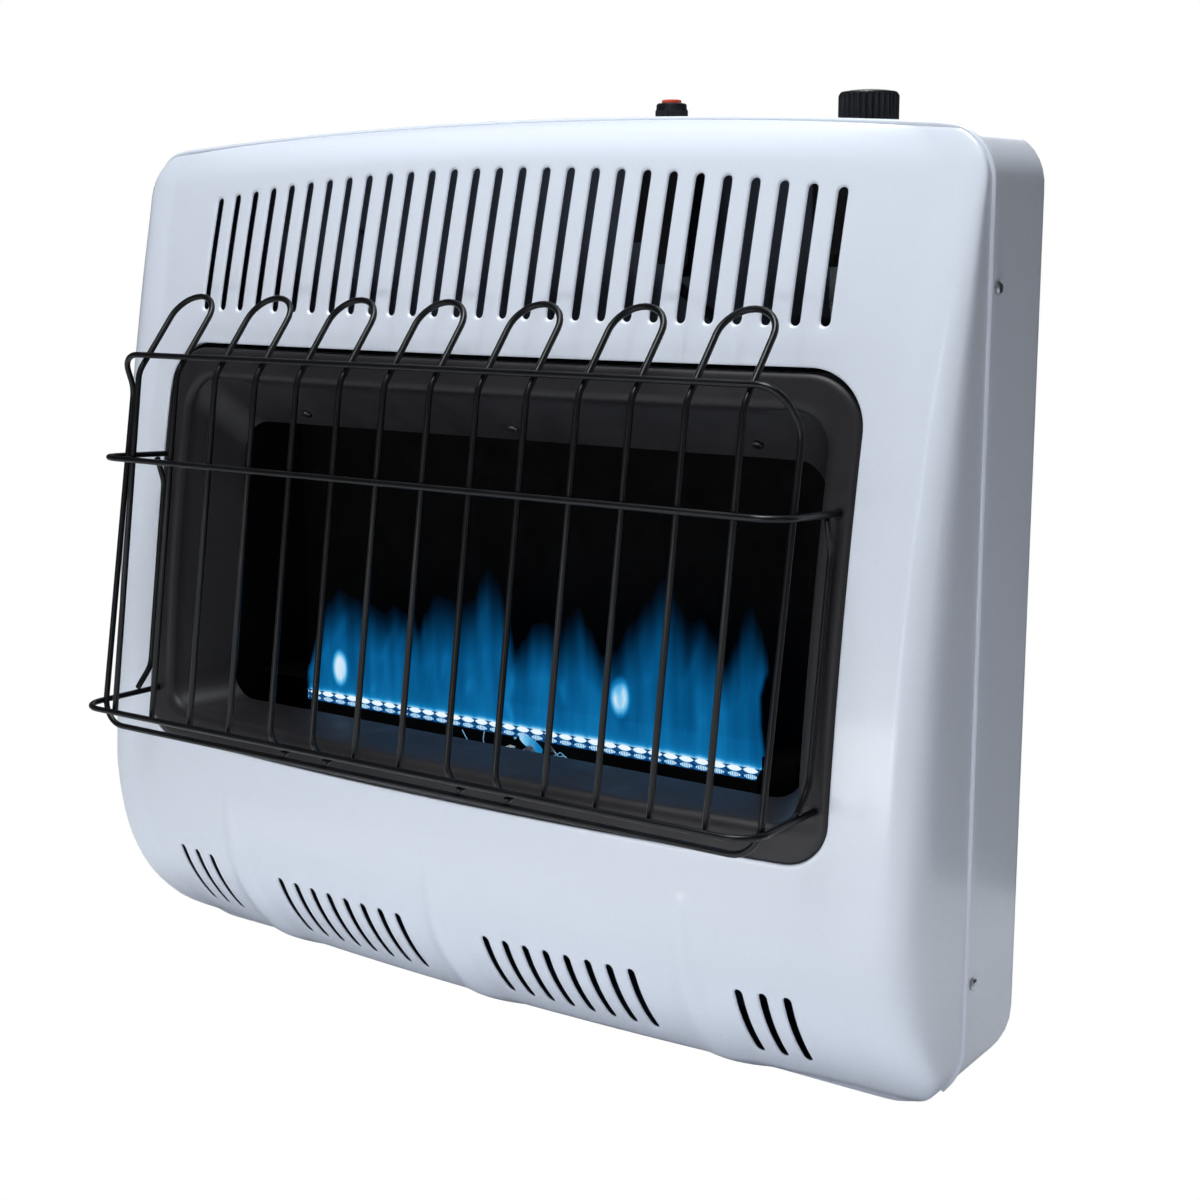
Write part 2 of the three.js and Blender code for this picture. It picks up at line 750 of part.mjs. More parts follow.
// Where a bar's leg passes, a distance out from the bezel's hole.
function legAt(height, reach, holeHeight, out) {
  const face = frontY(guardLegHalf, holeHeight);
  const legEnd = face + flangeFall + legGrip;
  const share = (face - out - legEnd) / (-reach - legEnd);
  return [face - out, holeHeight + (height - holeHeight) * share];
}

// The end of a wire that is cut square and butts on a leg above or below it.
function buttEnd([y, z], [fromY, fromZ]) {
  const tilt = Math.abs(fromY - y) / Math.hypot(fromY - y, fromZ - z);
  return [y, z + Math.sign(fromZ - z) * (wire / 2 * (1 + tilt) + seat)];
}

// A stile: a wire just off the bezel's face, its ends bent forward to butt on the two bars' legs.
function guardStile(side) {
  const upper = midHoleHeight - stileHeadDrop;
  const lower = lowerHoleHeight + stileFootRise;
  const head = [frontY(guardLegHalf, upper) - stileHeadStand, upper];
  const foot = [frontY(guardLegHalf, lower) - stileFootStand, lower];
  const top = buttEnd(legAt(midBarHeight, midBarReach, midHoleHeight, stileHeadOut), head);
  const base = buttEnd(legAt(lowerBarHeight, lowerBarReach, lowerHoleHeight, stileFootOut), foot);
  return rod([top, head, foot, base].map(([y, z]) => [side * guardLegHalf, y, z]), wire, guardBend);
}

add('guard_loop', guardLoop(), wireBlack);
add('guard_mid_bar', guardBar(midBarHeight, midBarReach, midHoleHeight), wireBlack);
add('guard_lower_bar', guardBar(lowerBarHeight, lowerBarReach, lowerHoleHeight), wireBlack);
add('guard_stile_left', guardStile(-1), wireBlack);
add('guard_stile_right', guardStile(1), wireBlack);
for (let number = 1; number <= uprightCount / 2; number += 1) {
  add(`guard_hoop_${number}`, guardHoop(number), wireBlack);
}

// Firebox: floor, back and two sides in one folded sheet, its sides carried back to the panel.
const fireboxFloor = 150;
const fireboxTop = 470;
const fireboxBack = 24;
const fireboxFront = 108;
const ventHead = 440;
const ventFoot = 180;

function fireboxProfile(inset) {
  const sill = mouthSill - sheet;
  return [[-fireboxFront + inset, sill], [-fireboxFront + inset, fireboxFloor + inset],
    [panelFront, fireboxFloor + inset], [panelFront, fireboxTop], [mouthY(mouthHead) + seat, fireboxTop],
    [mouthY(mouthHead) + seat, mouthHead], [mouthY(sill) + seat, sill]];
}

function firebox() {
  const outer = mouthHalf + sheet;
  const body = alongX(fireboxProfile(0), -outer, outer);
  const chamber = [[-fireboxFront + sheet, fireboxFloor + sheet], [-fireboxBack - sheet, fireboxFloor + sheet],
    [-fireboxBack - sheet, fireboxTop + sheet], [-reachAtSill, fireboxTop + sheet],
    [-reachAtSill, mouthSill - sheet], [-fireboxFront + sheet, mouthSill - sheet]];
  const behind = block(-fireboxBack, cutThrough, fireboxFloor + sheet, fireboxTop + sheet);
  const vents = block(-fireboxBack + sheet, panelFront - sheet, ventFoot, ventHead);
  const holes = [
    alongX(chamber, -mouthHalf, mouthHalf),
    alongX(behind, -mouthHalf, mouthHalf),
    alongX(vents, -outer - sheet, outer + sheet),
    alongX(disc(mixerRadius + seat, burnerMiddleY, burnerMiddleZ, 20), mouthHalf - sheet, outer + sheet),
    ...[pilotPlace, pilotPlace + pilotPitch, pilotPlace - pilotPitch].map((x) => (
      alongZ(disc(pilotHole / 2, x, -pilotReach, 12), fireboxFloor - sheet, fireboxFloor + 2 * sheet))),
  ];
  return cut(body, holes);
}

// Burner: a pressed tube with a crimped row of ports along its upper front edge.
const burnerMargin = 49;
const burnerHalf = mouthHalf - burnerMargin;
const burnerFront = 79;
const burnerBack = 46;
const burnerFoot = 164;
const burnerHead = 203;
const portStripHeight = 8;
const portStripDeep = 3;
const portPitch = 12.34;
const portWidth = 6.5;
const portDepth = 3.5;
const mixerRadius = 11;
const mixerOut = 13;
const mixerEnd = mouthHalf + mixerOut;
const burnerMiddleY = -(burnerFront + burnerBack) / 2;
const burnerMiddleZ = (burnerFoot + burnerHead) / 2;
const burnerRound = 8;

// Pilot group in front of the burner, a little right of the middle
const pilotPlace = 25;
const pilotReach = 96;
const pilotPitch = 17;
const pilotHole = 8;

add('firebox', firebox(), soot);

function burner() {
  const stepBack = -burnerFront + portStripDeep + seat;
  const ledge = burnerHead - portStripHeight - seat;
  const profile = [[-burnerFront, burnerFoot + burnerRound], [-burnerFront + burnerRound, burnerFoot],
    [-burnerBack - burnerRound, burnerFoot], [-burnerBack, burnerFoot + burnerRound],
    [-burnerBack, burnerHead - burnerRound], [-burnerBack - burnerRound, burnerHead],
    [stepBack, burnerHead], [stepBack, ledge], [-burnerFront, ledge]];
  const body = alongX(profile, -burnerHalf, burnerHalf);
  const mixer = alongX(disc(mixerRadius, burnerMiddleY, burnerMiddleZ, 20), burnerHalf - sheet, mixerEnd);
  const throat = alongX(disc(mixerRadius - sheet, burnerMiddleY, burnerMiddleZ, 16), burnerHalf, mixerEnd + sheet);
  return joined(body, mixer).subtract(throat);
}

function portStrip() {
  const foot = burnerHead - portStripHeight;
  const count = Math.floor((2 * burnerHalf) / portPitch);
  const points = [[-burnerHalf, foot], [burnerHalf, foot], [burnerHalf, burnerHead]];
  for (let i = count - 1; i >= 0; i -= 1) {
    const x = (i - (count - 1) / 2) * portPitch;
    points.push([x + portWidth / 2, burnerHead], [x + portWidth / 2 - sheet, burnerHead - portDepth]);
    points.push([x - portWidth / 2 + sheet, burnerHead - portDepth], [x - portWidth / 2, burnerHead]);
  }
  points.push([-burnerHalf, burnerHead]);
  return alongY(points, -burnerFront, -burnerFront + portStripDeep);
}

add('burner', burner(), soot);
add('port_strip', portStrip(), steel);

// Burner brackets: an angle at each end, from the firebox floor up past the burner and out to the side wall.
const bracketHead = 212;
const bracketDeep = 36;

function burnerBracket(side) {
  const near = burnerHalf + seat;
  const far = mouthHalf - seat;
  const low = fireboxFloor + sheet + seat;
  const section = [[near, low], [near + sheet, low], [near + sheet, bracketHead - sheet],
    [far, bracketHead - sheet], [far, bracketHead], [near, bracketHead]];
  const outline = side > 0 ? section : section.map(([x, z]) => [-x, z]);
  const plate = alongY(outline, burnerMiddleY - bracketDeep / 2, burnerMiddleY + bracketDeep / 2);
  const bore = alongX(disc(mixerRadius + seat, burnerMiddleY, burnerMiddleZ, 16),
    side > 0 ? burnerHalf : -mouthHalf, side > 0 ? mouthHalf : -burnerHalf);
  return side > 0 ? plate.subtract(bore) : plate;
}

add('burner_bracket_left', burnerBracket(-1), soot);
add('burner_bracket_right', burnerBracket(1), soot);

// Orifice holder in the mixer's mouth, with the slotted air shutter round it.
const holderHex = 14;
const holderLength = 26;
const jetRadius = 4;
const jetReach = 7;
const shutterLength = 16;
const shutterSlots = 4;
const gasTube = 8;

function orificeHolder() {
  const from = mixerEnd + shutterLength / 2;
  const hex = alongX(disc(holderHex / 2, burnerMiddleY, burnerMiddleZ, 6), from, from + holderLength);
  const jet = alongX(disc(jetRadius, burnerMiddleY, burnerMiddleZ, 12), from - jetReach, from + sheet);
  const elbow = alongZ(disc(holderHex / 2 - sheet, from + holderLength - holderHex / 2, burnerMiddleY, 12),
    burnerMiddleZ, burnerMiddleZ + holderHex);
  return joined(hex, jet, elbow);
}

function airShutter() {
  const from = mixerEnd - shutterLength / 2;
  const outer = mixerRadius + seat + sheet;
  const sleeve = alongX(disc(outer, burnerMiddleY, burnerMiddleZ, 20), from, from + shutterLength)
    .subtract(alongX(disc(mixerRadius + seat, burnerMiddleY, burnerMiddleZ, 20),
      from - sheet, from + shutterLength - sheet))
    .subtract(alongX(disc(jetRadius + seat, burnerMiddleY, burnerMiddleZ, 12), from, from + 2 * shutterLength));
  const slot = alongZ(block(mixerEnd + seat, from + shutterLength - 2 * sheet,
    burnerMiddleY - 2 * outer, burnerMiddleY + 2 * outer), burnerMiddleZ - jetRadius, burnerMiddleZ + jetRadius);
  return sleeve.subtract(slot);
}

add('orifice_holder', orificeHolder(), brass);
add('air_shutter', airShutter(), steel);

// Pilot group on its bracket: oxygen-depletion pilot burner, thermocouple and spark electrode.
const pilotShelfHeight = 172;
const pilotPlateDeep = 14;
const pilotFootDeep = 16;
const pilotBurnerRadius = 5;
const pilotBurnerHead = 196;
const thermocoupleRadius = 3;
const thermocoupleHead = 198;
const electrodeRadius = 3.6;
const electrodeHead = 194;

function pilotBracket() {
  const half = 2 * pilotPitch - pilotBurnerRadius;
  const back = -pilotReach + pilotPlateDeep / 2;
  const front = -pilotReach - pilotPlateDeep / 2;
  const low = fireboxFloor + sheet + seat;
  const profile = [[front, pilotShelfHeight - sheet], [back - sheet, pilotShelfHeight - sheet], [back - sheet, low],
    [back, low], [back, pilotShelfHeight], [front, pilotShelfHeight]];
  const plate = alongX(profile, pilotPlace - half, pilotPlace + half);
  const radii = [[0, pilotBurnerRadius], [pilotPitch, thermocoupleRadius], [-pilotPitch, electrodeRadius]];
  const holes = radii.map(([off, radius]) => (
    alongZ(disc(radius - sheet / 2 + seat, pilotPlace + off, -pilotReach, 12), low, pilotShelfHeight + sheet)));
  return cut(plate, holes);
}

// A round stem with a shoulder that rests on the pilot bracket.
function pilotStem(radius, head, tip, x) {
  const low = pilotShelfHeight - sheet - pilotFootDeep / 2;
  return turned([[0, low], [radius - sheet / 2, low], [radius - sheet / 2, pilotShelfHeight + seat],
    [radius + sheet, pilotShelfHeight + seat], [radius + sheet, pilotShelfHeight + 2 * sheet],
    [radius, pilotShelfHeight + 2 * sheet], [radius, head - tip], [tip / 2, head], [0, head]], x, -pilotReach, 12);
}

function pilotBurner() {
  const stem = pilotStem(pilotBurnerRadius, pilotBurnerHead, pilotBurnerRadius, pilotPlace);
  const middle = pilotBurnerHead - 2 * pilotBurnerRadius;
  const port = alongX(disc(pilotBurnerRadius / 2, -pilotReach, middle, 10),
    pilotPlace - 2 * pilotBurnerRadius, pilotPlace);
  return stem.subtract(port);
}

add('pilot_bracket', pilotBracket(), steel);
add('pilot_burner', pilotBurner(), steel);
add('thermocouple', pilotStem(thermocoupleRadius, thermocoupleHead, thermocoupleRadius, pilotPlace + pilotPitch),
  copper);
add('electrode', pilotStem(electrodeRadius, electrodeHead, sheet, pilotPlace - pilotPitch), ceramic);

// Heat deflector: a folded strip over the firebox mouth that carries the bezel screws.
const deflectorMargin = 9;
const deflectorHalf = mouthHalf - deflectorMargin;
const deflectorRise = 26;
const bezelScrewLength = 7;

function wallLine() {
  const footY = mouthY(mouthHead);
  const headZ = windowHead - rimHeadGap - flangeWidth - wallRound;
  const headY = frontY(0, headZ) + flangeFall + wallRound;
  return { footY, headY, footZ: mouthHead, headZ };
}

function wallLean() {
  const { footY, headY, footZ, headZ } = wallLine();
  return Math.atan2(headY - footY, headZ - footZ);
}

function wallYAt(x, z) {
  const { footY, footZ, headZ } = wallLine();
  const share = (z - footZ) / (headZ - footZ);
  const head = frontY(x, headZ) + flangeFall + wallRound;
  return footY + (head - footY) * share;
}

// The wall's outward normal, towards the room and down, in the y-z plane.
function wallNormal() {
  const lean = wallLean();
  return new THREE.Vector3(0, -Math.cos(lean), Math.sin(lean));
}

function deflector() {
  const stations = 12;
  const normal = wallNormal();
  const low = bezelScrewHeight - screwHead / 2 - sheet;
  const rings = [];
  for (let i = 0; i <= stations; i += 1) {
    const x = deflectorHalf * ((2 * i) / stations - 1);
    const ring = [low, low + deflectorRise].map((z) => {
      const behind = -sheet - 2 * seat;
      return [x, wallYAt(x, z) + normal.y * behind, z + normal.z * behind];
    });
    const back = ring.map(([, y, z]) => [x, y - normal.y * sheet, z - normal.z * sheet]).reverse();
    rings.push([...ring, ...back]);
  }
  const body = solid(cappedStack(rings));
  return cut(body, bezelScrewPlaces.map((x) => bezelScrewBore(x)));
}

// Equal four-sided rings stacked along X, with the first and last filled in.
function cappedStack(rings) {
  const geometry = new THREE.BufferGeometry();
  geometry.setAttribute('position', new THREE.BufferAttribute(new Float32Array(rings.flat(2)), 3));
  const count = rings[0].length;
  const end = (rings.length - 1) * count;
  const corners = [0, 1, 2, 0, 2, 3, end, end + 2, end + 1, end, end + 3, end + 2];
  for (let row = 0; row < rings.length - 1; row += 1) {
    for (let i = 0; i < count; i += 1) {
      const j = (i + 1) % count;
      const [a, b, c, d] = [row * count + i, row * count + j, (row + 1) * count + j, (row + 1) * count + i];
      corners.push(a, c, b, a, d, c);
    }
  }
  geometry.setIndex(corners);
  return geometry;
}

function bezelScrewSeat(x) {
  return new THREE.Vector3(x, wallYAt(x, bezelScrewHeight), bezelScrewHeight);
}

function bezelScrewBore(x) {
  const bore = new THREE.CylinderGeometry(screwCore / 2, screwCore / 2, 2 * screwLength, 12);
  bore.applyQuaternion(new THREE.Quaternion().setFromUnitVectors(new THREE.Vector3(0, 1, 0), wallNormal()));
  const at = bezelScrewSeat(x);
  return solid(bore.translate(at.x, at.y, at.z));
}

add('heat_deflector', deflector(), soot);
bezelScrewPlaces.forEach((x, i) => {
  const screw = add(`bezel_screw_${i + 1}`, panHeadScrew(), black);
  screw.quaternion.setFromUnitVectors(new THREE.Vector3(0, 0, 1), wallNormal());
  screw.position.copy(bezelScrewSeat(x)).addScaledVector(wallNormal(), screwStandOff);
});

// Gas valve with its thermostat head, hung under a bracket shelf and turned by the knob above the case.
const valveHalfWide = 28;
const valveDeep = 22;
const bracketHalf = 38;
const neckRadius = 10;
const neckBore = 6.6;
const nutHex = 15;
const nutHeight = 4;
const portRadius = 7;
const portDrop = 8;
const valveRound = 7;
const stemRadius = 3;
const knobSink = 5.7;
const knobHeight = 24;
const knobCap = 10;
const neckBelowKnob = 10;
const plungerRise = 5;
const plungerLength = 28;
const plungerFloat = 5;
const stemFloat = 6;
const neckRise = 6.4;
const valveHeight = 55.6;
const bracketLap = 15;
const knobFoot = archedTop(knobPlace) - knobSink;
const knobHead = knobFoot + knobHeight;
const stemHead = knobHead - knobCap;
const neckHead = knobFoot - neckBelowKnob;
const plungerHead = neckHead + plungerRise;
const plungerFoot = plungerHead - plungerLength;
const stemFoot = plungerFoot - plungerFloat;
const neckFloor = stemFoot - stemFloat;
const shelfHeight = neckHead - neckRise;
const valveFoot = shelfHeight - valveHeight;
const bracketFoot = valveFoot + bracketLap;
const knobDome = 2.4;
const knobFlutes = 30;
const fluteDepth = 1.1;
const inletPort = 20;

function valveBody() {
  const head = shelfHeight - seat;
  const shape = new THREE.Shape();
  const [left, right] = [knobPlace - valveHalfWide, knobPlace + valveHalfWide];
  const [near, far] = [-controlReach - valveDeep, -controlReach + valveDeep];
  shape.moveTo(left + valveRound, near);
  shape.lineTo(right - valveRound, near);
  shape.quadraticCurveTo(right, near, right, near + valveRound);
  shape.lineTo(right, far - valveRound);
  shape.quadraticCurveTo(right, far, right - valveRound, far);
  shape.lineTo(left + valveRound, far);
  shape.quadraticCurveTo(left, far, left, far - valveRound);
  shape.lineTo(left, near + valveRound);
  shape.quadraticCurveTo(left, near, left + valveRound, near);
  const body = alongZ(shape, valveFoot, head);
  const neck = alongZ(disc(neckRadius, knobPlace, -controlReach, 20), head - sheet, neckHead);
  const ports = [inletPort, -inletPort].map((off) => (
    alongZ(disc(portRadius, knobPlace + off, -controlReach, 14), valveFoot - portDrop, valveFoot + sheet)));
  const bore = alongZ(disc(neckBore, knobPlace, -controlReach, 16), neckFloor, neckHead + sheet);
  return joined(body, neck, ...ports).subtract(bore);
}

function valveBracket() {
  const front = -controlReach - valveDeep - seat;
  const back = panelFront - seat;
  const profile = [[back, bracketFoot], [back, shelfHeight + sheet], [front, shelfHeight + sheet],
    [front, shelfHeight], [back - sheet, shelfHeight], [back - sheet, bracketFoot]];
  const plate = alongX(profile, knobPlace - bracketHalf, knobPlace + bracketHalf);
  return plate.subtract(alongZ(disc(neckRadius + seat, knobPlace, -controlReach, 20),
    shelfHeight - sheet, shelfHeight + 2 * sheet));
}

function neckNut() {
  const low = shelfHeight + sheet + seat;
  return alongZ(disc(nutHex, knobPlace, -controlReach, 6), low, low + nutHeight)
    .subtract(alongZ(disc(neckRadius + seat, knobPlace, -controlReach, 20), low - sheet, low + 2 * nutHeight));
}

function plunger() {
  return alongZ(disc(neckBore - seat, knobPlace, -controlReach, 16), plungerFoot, plungerHead)
    .subtract(alongZ(disc(stemRadius + seat, knobPlace, -controlReach, 16), 0, topCentre));
}

function fluted(radius, flutes, depth, x, y) {
  const points = [];
  for (let i = 0; i < 2 * flutes; i += 1) {
    const turn = (Math.PI * i) / flutes;
    const reach = i % 2 ? radius - depth : radius;
    points.push([x + reach * Math.cos(turn), y + reach * Math.sin(turn)]);
  }
  return points;
}

function controlKnob() {
  const side = alongZ(fluted(knobRadius, knobFlutes, fluteDepth, knobPlace, -controlReach), knobFoot,
    knobHead - fluteDepth);
  const rim = knobRadius - fluteDepth;
  const cap = turned([[0, knobFoot + sheet], [rim, knobFoot + sheet], [rim, knobHead - sheet / 2],
    [rim - fluteDepth, knobHead], [rim * Math.SQRT1_2, knobHead + knobDome / 2],
    [rim / 2, knobHead + knobDome * Math.SQRT1_2], [0, knobHead + knobDome]], knobPlace, -controlReach, 30);
  const bore = alongZ(disc(stemRadius + seat, knobPlace, -controlReach, 16), 0, stemHead + seat);
  return joined(side, cap).subtract(bore);
}

add('gas_valve', valveBody(), aluminium);
add('valve_bracket', valveBracket(), steel);
add('neck_nut', neckNut(), steel);
add('valve_plunger', plunger(), brass);
add('valve_stem', alongZ(disc(stemRadius, knobPlace, -controlReach, 16), stemFoot, stemHead), steel);
add('control_knob', controlKnob(), knobBlack);

// Push igniter: a barrel through the case, clamped by a fluted ring, with a sprung button inside it.
const barrelRise = 5.5;
const barrelLength = 44.3;
const barrelHead = archedTop(igniterPlace) + barrelRise;
const igniterFoot = barrelHead - barrelLength;
const packLeft = 27;
const packRight = 20;
const packDeep = 22;
const packHead = igniterFoot + igniterBarrel;
const packFoot = 537;
const glandFoot = 523;
const glandHalf = 5;
const glandOff = 2;
const packNose = 515;
const packHeel = 524;
const barrelBore = 4.5;
const flangeRadius = 11;
const flangeHeight = 4;
const ringRadius = 12.75;
const ringRise = 9.5;
const ringHead = barrelHead + ringRise;
const ringFlutes = 22;
const buttonRadius = 7.5;
const buttonHeight = 5.9;
const buttonFoot = barrelHead + buttonTravel + sheet / 2;
const buttonHead = buttonFoot + buttonHeight;
const buttonStemRadius = 4;
const buttonStemLength = 16.3;
const buttonStemFoot = barrelHead - buttonStemLength;

// The battery pack under the barrel: its foot slants down to the gland that holds the lead.
function igniterPack() {
  const left = igniterPlace - packLeft;
  const right = igniterPlace + packRight;
  const gland = igniterPlace + glandOff;
  const slope = igniterPlace - 2 * glandHalf;
  const outline = [[left, packFoot], [slope, packFoot], [gland - glandHalf, glandFoot],
    [gland + glandHalf, glandFoot], [gland + 2 * glandHalf, packNose], [right, packHeel],
    [right, packHead], [left, packHead]];
  return alongY(outline, -controlReach - packDeep / 2, -controlReach + packDeep / 2);
}

function igniterBody() {
  const under = archedTop(igniterPlace + flangeRadius) - sheet - seat;
  const barrelRadius = igniterBarrel / 2;
  const profile = [[0, igniterFoot], [barrelRadius, igniterFoot], [barrelRadius, under - flangeHeight],
    [flangeRadius, under - flangeHeight], [flangeRadius, under], [barrelRadius, under],
    [barrelRadius, barrelHead], [0, barrelHead]];
  return turned(profile, igniterPlace, -controlReach).add(igniterPack())
    .subtract(alongZ(disc(barrelBore, igniterPlace, -controlReach, 14),
      buttonStemFoot - buttonTravel - sheet, barrelHead + sheet));
}

function igniterRing() {
  const low = archedTop(igniterPlace - ringRadius) + seat;
  const side = alongZ(fluted(ringRadius, ringFlutes, fluteDepth / 2, igniterPlace, -controlReach), low, ringHead);
  return side.subtract(alongZ(disc(igniterBarrel / 2 + seat, igniterPlace, -controlReach, 20),
    low - sheet, ringHead + sheet));
}

function igniterButton() {
  return turned([[0, buttonStemFoot], [buttonStemRadius, buttonStemFoot], [buttonStemRadius, buttonFoot],
    [buttonRadius, buttonFoot], [buttonRadius, buttonHead - sheet], [buttonRadius - sheet, buttonHead],
    [0, buttonHead]], igniterPlace, -controlReach);
}

add('igniter_body', igniterBody(), knobBlack);
add('igniter_ring', igniterRing(), knobBlack);
add('igniter_button', igniterButton(), buttonRed);

// Regulator on the back panel over the inlet fitting, and the pipes that join it, the valve and the burner.
const regulatorRadius = 30;
const regulatorReachFront = 58;
const regulatorReachBack = 30;
const regulatorHeight = 88;
const regulatorBoss = 9;
const bossHead = 126;
const fittingHex = 12;
const fittingHead = 48;
const fittingRadius = 8;
const nutLow = 14;
const nutHigh = 30;

function regulator() {
  const body = alongY(disc(regulatorRadius, inletPlace, regulatorHeight, 18), -regulatorReachFront,
    -regulatorReachBack);
  const cap = alongY(disc(regulatorRadius / 2, inletPlace, regulatorHeight, 18),
    -regulatorReachFront - regulatorBoss, -regulatorReachFront + sheet);
  const foot = alongY(disc(regulatorBoss, inletPlace, regulatorHeight, 14), -regulatorReachBack - sheet,
    panelFront - seat);
  const inlet = alongZ(disc(regulatorBoss, inletPlace, -inletReach, 14), fittingHead + seat, regulatorHeight);
  const outlet = alongZ(disc(regulatorBoss, inletPlace, -inletReach, 14), regulatorHeight, bossHead);
  return joined(body, cap, foot, inlet, outlet);
}

function inletFitting() {
  const stem = alongZ(disc(fittingRadius, inletPlace, -inletReach, 16), cornerRadius / 4, fittingHead);
  const hex = alongZ(disc(fittingHex, inletPlace, -inletReach, 6), nutLow, nutHigh);
  const bore = alongZ(disc(fittingRadius / 2, inletPlace, -inletReach, 12), 0, nutHigh);
  return joined(stem, hex).subtract(bore);
}

const pipeBend = 14;
const pipeRiseOut = 47;
const pipeRiseX = mouthHalf + pipeRiseOut;
const burnerPipeOut = 34;
const burnerPipeX = mouthHalf + burnerPipeOut;
const valveFootPort = valveFoot - portDrop - seat;

function inletPipe() {
  const low = bossHead + seat;
  const turn = (low + fireboxFloor) / 2 + pipeBend;
  return rod([[inletPlace, -inletReach, low], [inletPlace, -inletReach, turn],
    [pipeRiseX, -inletReach, turn], [pipeRiseX, -inletReach, fireboxTop + pipeBend],
    [knobPlace + inletPort, -controlReach, fireboxTop + 2 * pipeBend],
    [knobPlace + inletPort, -controlReach, valveFootPort]], gasTube, pipeBend, 3, 8);
}

function burnerPipe() {
  const end = mixerEnd + shutterLength / 2 + holderLength - holderHex / 2;
  const high = fireboxTop + pipeBend;
  return rod([[end, burnerMiddleY, burnerMiddleZ + holderHex + seat], [end, burnerMiddleY, fireboxTop / 2],
    [burnerPipeX, burnerMiddleY, fireboxTop / 2 + 2 * pipeBend], [burnerPipeX, burnerMiddleY, high],
    [knobPlace - inletPort, -controlReach, high], [knobPlace - inletPort, -controlReach, valveFootPort]],
  gasTube, pipeBend, 3, 8);
}

add('regulator', regulator(), aluminium);
add('inlet_fitting', inletFitting(), brass);
add('inlet_pipe', inletPipe(), aluminium);
add('burner_pipe', burnerPipe(), aluminium);

// Small pipes and leads between the valve, the igniter, the room sensor and the pilot cluster. They run down
// the space between the firebox and the case side, then under the firebox floor and up through its holes.
const pilotPipe = 4;
const leadWidth = 2.6;
const capillaryWidth = 2;
const smallBend = 9;
const underFloor = 140;
const stemFootHeight = pilotShelfHeight - sheet - pilotFootDeep / 2 - seat;
const valveUnder = valveFoot - seat;
const overFirebox = 500;
const pilotPipeOut = 17;
const pilotPipeX = mouthHalf + pilotPipeOut;
const pilotPipeReach = 78;
const leadOut = 8;
const thermocoupleLeadX = mouthHalf + leadOut;
const thermocoupleLeadReach = 88;
const ignitionLeadX = mouthHalf + leadOut;
const ignitionLeadReach = 14;
const sleeveWidth = 7;
const sleeveDrop = 12;
const sleeveRun = 44;
const sleeveRise = 10;
const sleeveRest = fireboxTop + sleeveRise;
const bulbRadius = 4;
const bulbFromSide = 43;
const bulbPlace = halfWidth - bulbFromSide;
const bulbReach = 9;
const bulbFoot = 60;
const bulbHead = 150;
const capillaryOut = 21.5;
const capillaryPlace = knobPlace + capillaryOut;
const capillaryReach = 20;
const clipWidth = 14;
const clipHeight = 12;

function pilotGasPipe() {
  const front = -controlReach - valveDeep / 2;
  return rod([[knobPlace, front, valveUnder], [knobPlace, front, overFirebox],
    [pilotPipeX, -pilotPipeReach, overFirebox - 2 * smallBend], [pilotPipeX, -pilotPipeReach, underFloor],
    [pilotPlace, -pilotReach, underFloor], [pilotPlace, -pilotReach, stemFootHeight]], pilotPipe, smallBend, 3);
}

function thermocoupleLead() {
  const back = -controlReach + valveDeep / 2;
  const stem = pilotPlace + pilotPitch;
  const level = underFloor + pilotPipe;
  const port = knobPlace - leadOut;
  return rod([[port, back, valveUnder], [port, back, overFirebox],
    [thermocoupleLeadX, -thermocoupleLeadReach, overFirebox - 2 * smallBend],
    [thermocoupleLeadX, -thermocoupleLeadReach, level], [stem, -pilotReach + pilotPipe, level],
    [stem, -pilotReach, stemFootHeight]], leadWidth, smallBend / 2, 3);
}

function ignitionLead() {
  const stem = pilotPlace - pilotPitch;
  const gland = igniterPlace + glandOff;
  return rod([[gland, -controlReach, glandFoot - seat], [gland, -controlReach, glandFoot - sleeveDrop],
    [gland + sleeveRun, -controlReach, sleeveRest], [ignitionLeadX, -ignitionLeadReach, sleeveRest],
    [ignitionLeadX, -ignitionLeadReach, underFloor], [stem, -ignitionLeadReach, underFloor],
    [stem, -pilotReach, underFloor], [stem, -pilotReach, stemFootHeight]], sleeveWidth, smallBend, 3);
}

function sensingBulb() {
  return turned([[0, bulbFoot], [bulbRadius - sheet, bulbFoot], [bulbRadius, bulbFoot + sheet],
    [bulbRadius, bulbHead - 2 * sheet], [capillaryWidth, bulbHead], [0, bulbHead]], bulbPlace, -bulbReach, 12);
}

function bulbClip() {
  const low = (bulbFoot + bulbHead) / 2;
  const outline = block(bulbPlace - clipWidth / 2, bulbPlace + clipWidth / 2,
    -bulbReach - bulbRadius - 2 * sheet, panelFront - seat);
  return alongZ(outline, low, low + clipHeight)
    .subtract(alongZ(disc(bulbRadius + seat, bulbPlace, -bulbReach, 12), low - sheet, low + 2 * clipHeight));
}

function capillary() {
  return rod([[bulbPlace, -bulbReach, bulbHead + seat], [bulbPlace, -bulbReach, bulbHead + 2 * smallBend],
    [capillaryPlace, -capillaryReach, bulbHead + 4 * smallBend],
    [capillaryPlace, -capillaryReach, valveUnder]], capillaryWidth, smallBend, 3, 5);
}

add('pilot_pipe', pilotGasPipe(), aluminium);
add('thermocouple_lead', thermocoupleLead(), copper);
add('ignition_lead', ignitionLead(), leadBlack);
add('thermostat_bulb', sensingBulb(), copper);
add('bulb_clip', bulbClip(), steel);
add('capillary', capillary(), copper);

// The part's origin is the middle of the wall face.
const wallFaceHeight = topCentre / 2;
heater.position.z = -wallFaceHeight;

export default heater;
